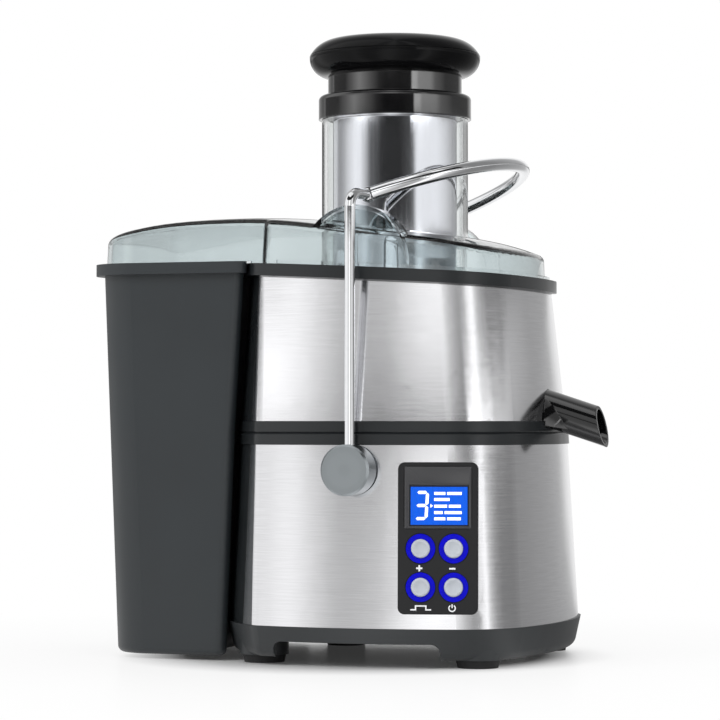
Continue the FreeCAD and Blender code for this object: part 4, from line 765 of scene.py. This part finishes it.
    def lamps(self, scene):
        """Three soft lamps, which no reflection shows."""
        for name, spot, size, power in (("key", (-0.9, -1.3, 1.3), 1.0, 16.0), ("fill", (1.3, -0.9, 0.8), 1.0, 8.0),
                                        ("top", (0.1, 0.3, 1.6), 1.2, 10.0)):
            light = bpy.data.lights.new(name, "AREA")
            light.size = size
            light.energy = power
            lamp = bpy.data.objects.new(name, light)
            lamp.location = spot
            lamp.rotation_euler = (Vector((0.0, 0.0, 0.18)) - Vector(spot)).to_track_quat("-Z", "Y").to_euler()
            lamp.visible_camera = lamp.visible_glossy = lamp.visible_transmission = False
            scene.collection.objects.link(lamp)

    def camera(self, scene, stage, axis_x):
        """Long lens at the photograph's angle."""
        right = Vector((math.cos(stage.azimuth), math.sin(stage.azimuth), 0.0))
        back = Vector((math.sin(stage.azimuth), -math.cos(stage.azimuth), 0.0))
        axis = Vector((axis_x, 0.0, stage.height))
        data = bpy.data.cameras.new("camera")
        data.lens = stage.lens
        data.sensor_width = 36.0
        data.clip_end = 100.0
        camera = bpy.data.objects.new("camera", data)
        camera.location = axis + back * stage.distance
        aim = axis - right * stage.aim_left + Vector((0.0, 0.0, stage.aim_up))
        camera.rotation_euler = (aim - camera.location).to_track_quat("-Z", "Y").to_euler()
        scene.collection.objects.link(camera)
        scene.camera = camera


class JUICER_PT_sidebar(bpy.types.Panel):
    """Shows the juicer's steps and its sizes, finishes and stage settings"""
    bl_label = "Juicer"
    bl_idname = "JUICER_PT_sidebar"
    bl_space_type = "VIEW_3D"
    bl_region_type = "UI"
    bl_category = "Juicer"

    def draw(self, context):
        for operator in OPERATORS:
            self.layout.operator(operator.bl_idname)
        for group in (context.scene.juicer_sizes, context.scene.juicer_finishes, context.scene.juicer_stage):
            for key in group.__annotations__:
                self.layout.prop(group, key)


GROUPS = {"juicer_finishes": JuicerFinishes, "juicer_sizes": JuicerSizes, "juicer_stage": JuicerStage}
OPERATORS = (JUICER_OT_steel, JUICER_OT_mouldings, JUICER_OT_lid, JUICER_OT_pusher, JUICER_OT_arm,
             JUICER_OT_works, JUICER_OT_panel, JUICER_OT_buttons, JUICER_OT_stage)


def register():
    for item in (*GROUPS.values(), *OPERATORS, JUICER_PT_sidebar):
        bpy.utils.register_class(item)
    for name, group in GROUPS.items():
        setattr(bpy.types.Scene, name, PointerProperty(type=group))


def unregister():
    for name in GROUPS:
        delattr(bpy.types.Scene, name)
    for item in reversed((*GROUPS.values(), *OPERATORS, JUICER_PT_sidebar)):
        bpy.utils.unregister_class(item)


def main():
    register()
    bpy.ops.juicer.steel()
    bpy.ops.juicer.mouldings()
    bpy.ops.juicer.lid()
    bpy.ops.juicer.pusher()
    bpy.ops.juicer.arm()
    bpy.ops.juicer.works()
    bpy.ops.juicer.panel()
    bpy.ops.juicer.buttons()
    bpy.ops.juicer.stage()


if __name__ == "__main__":
    main()
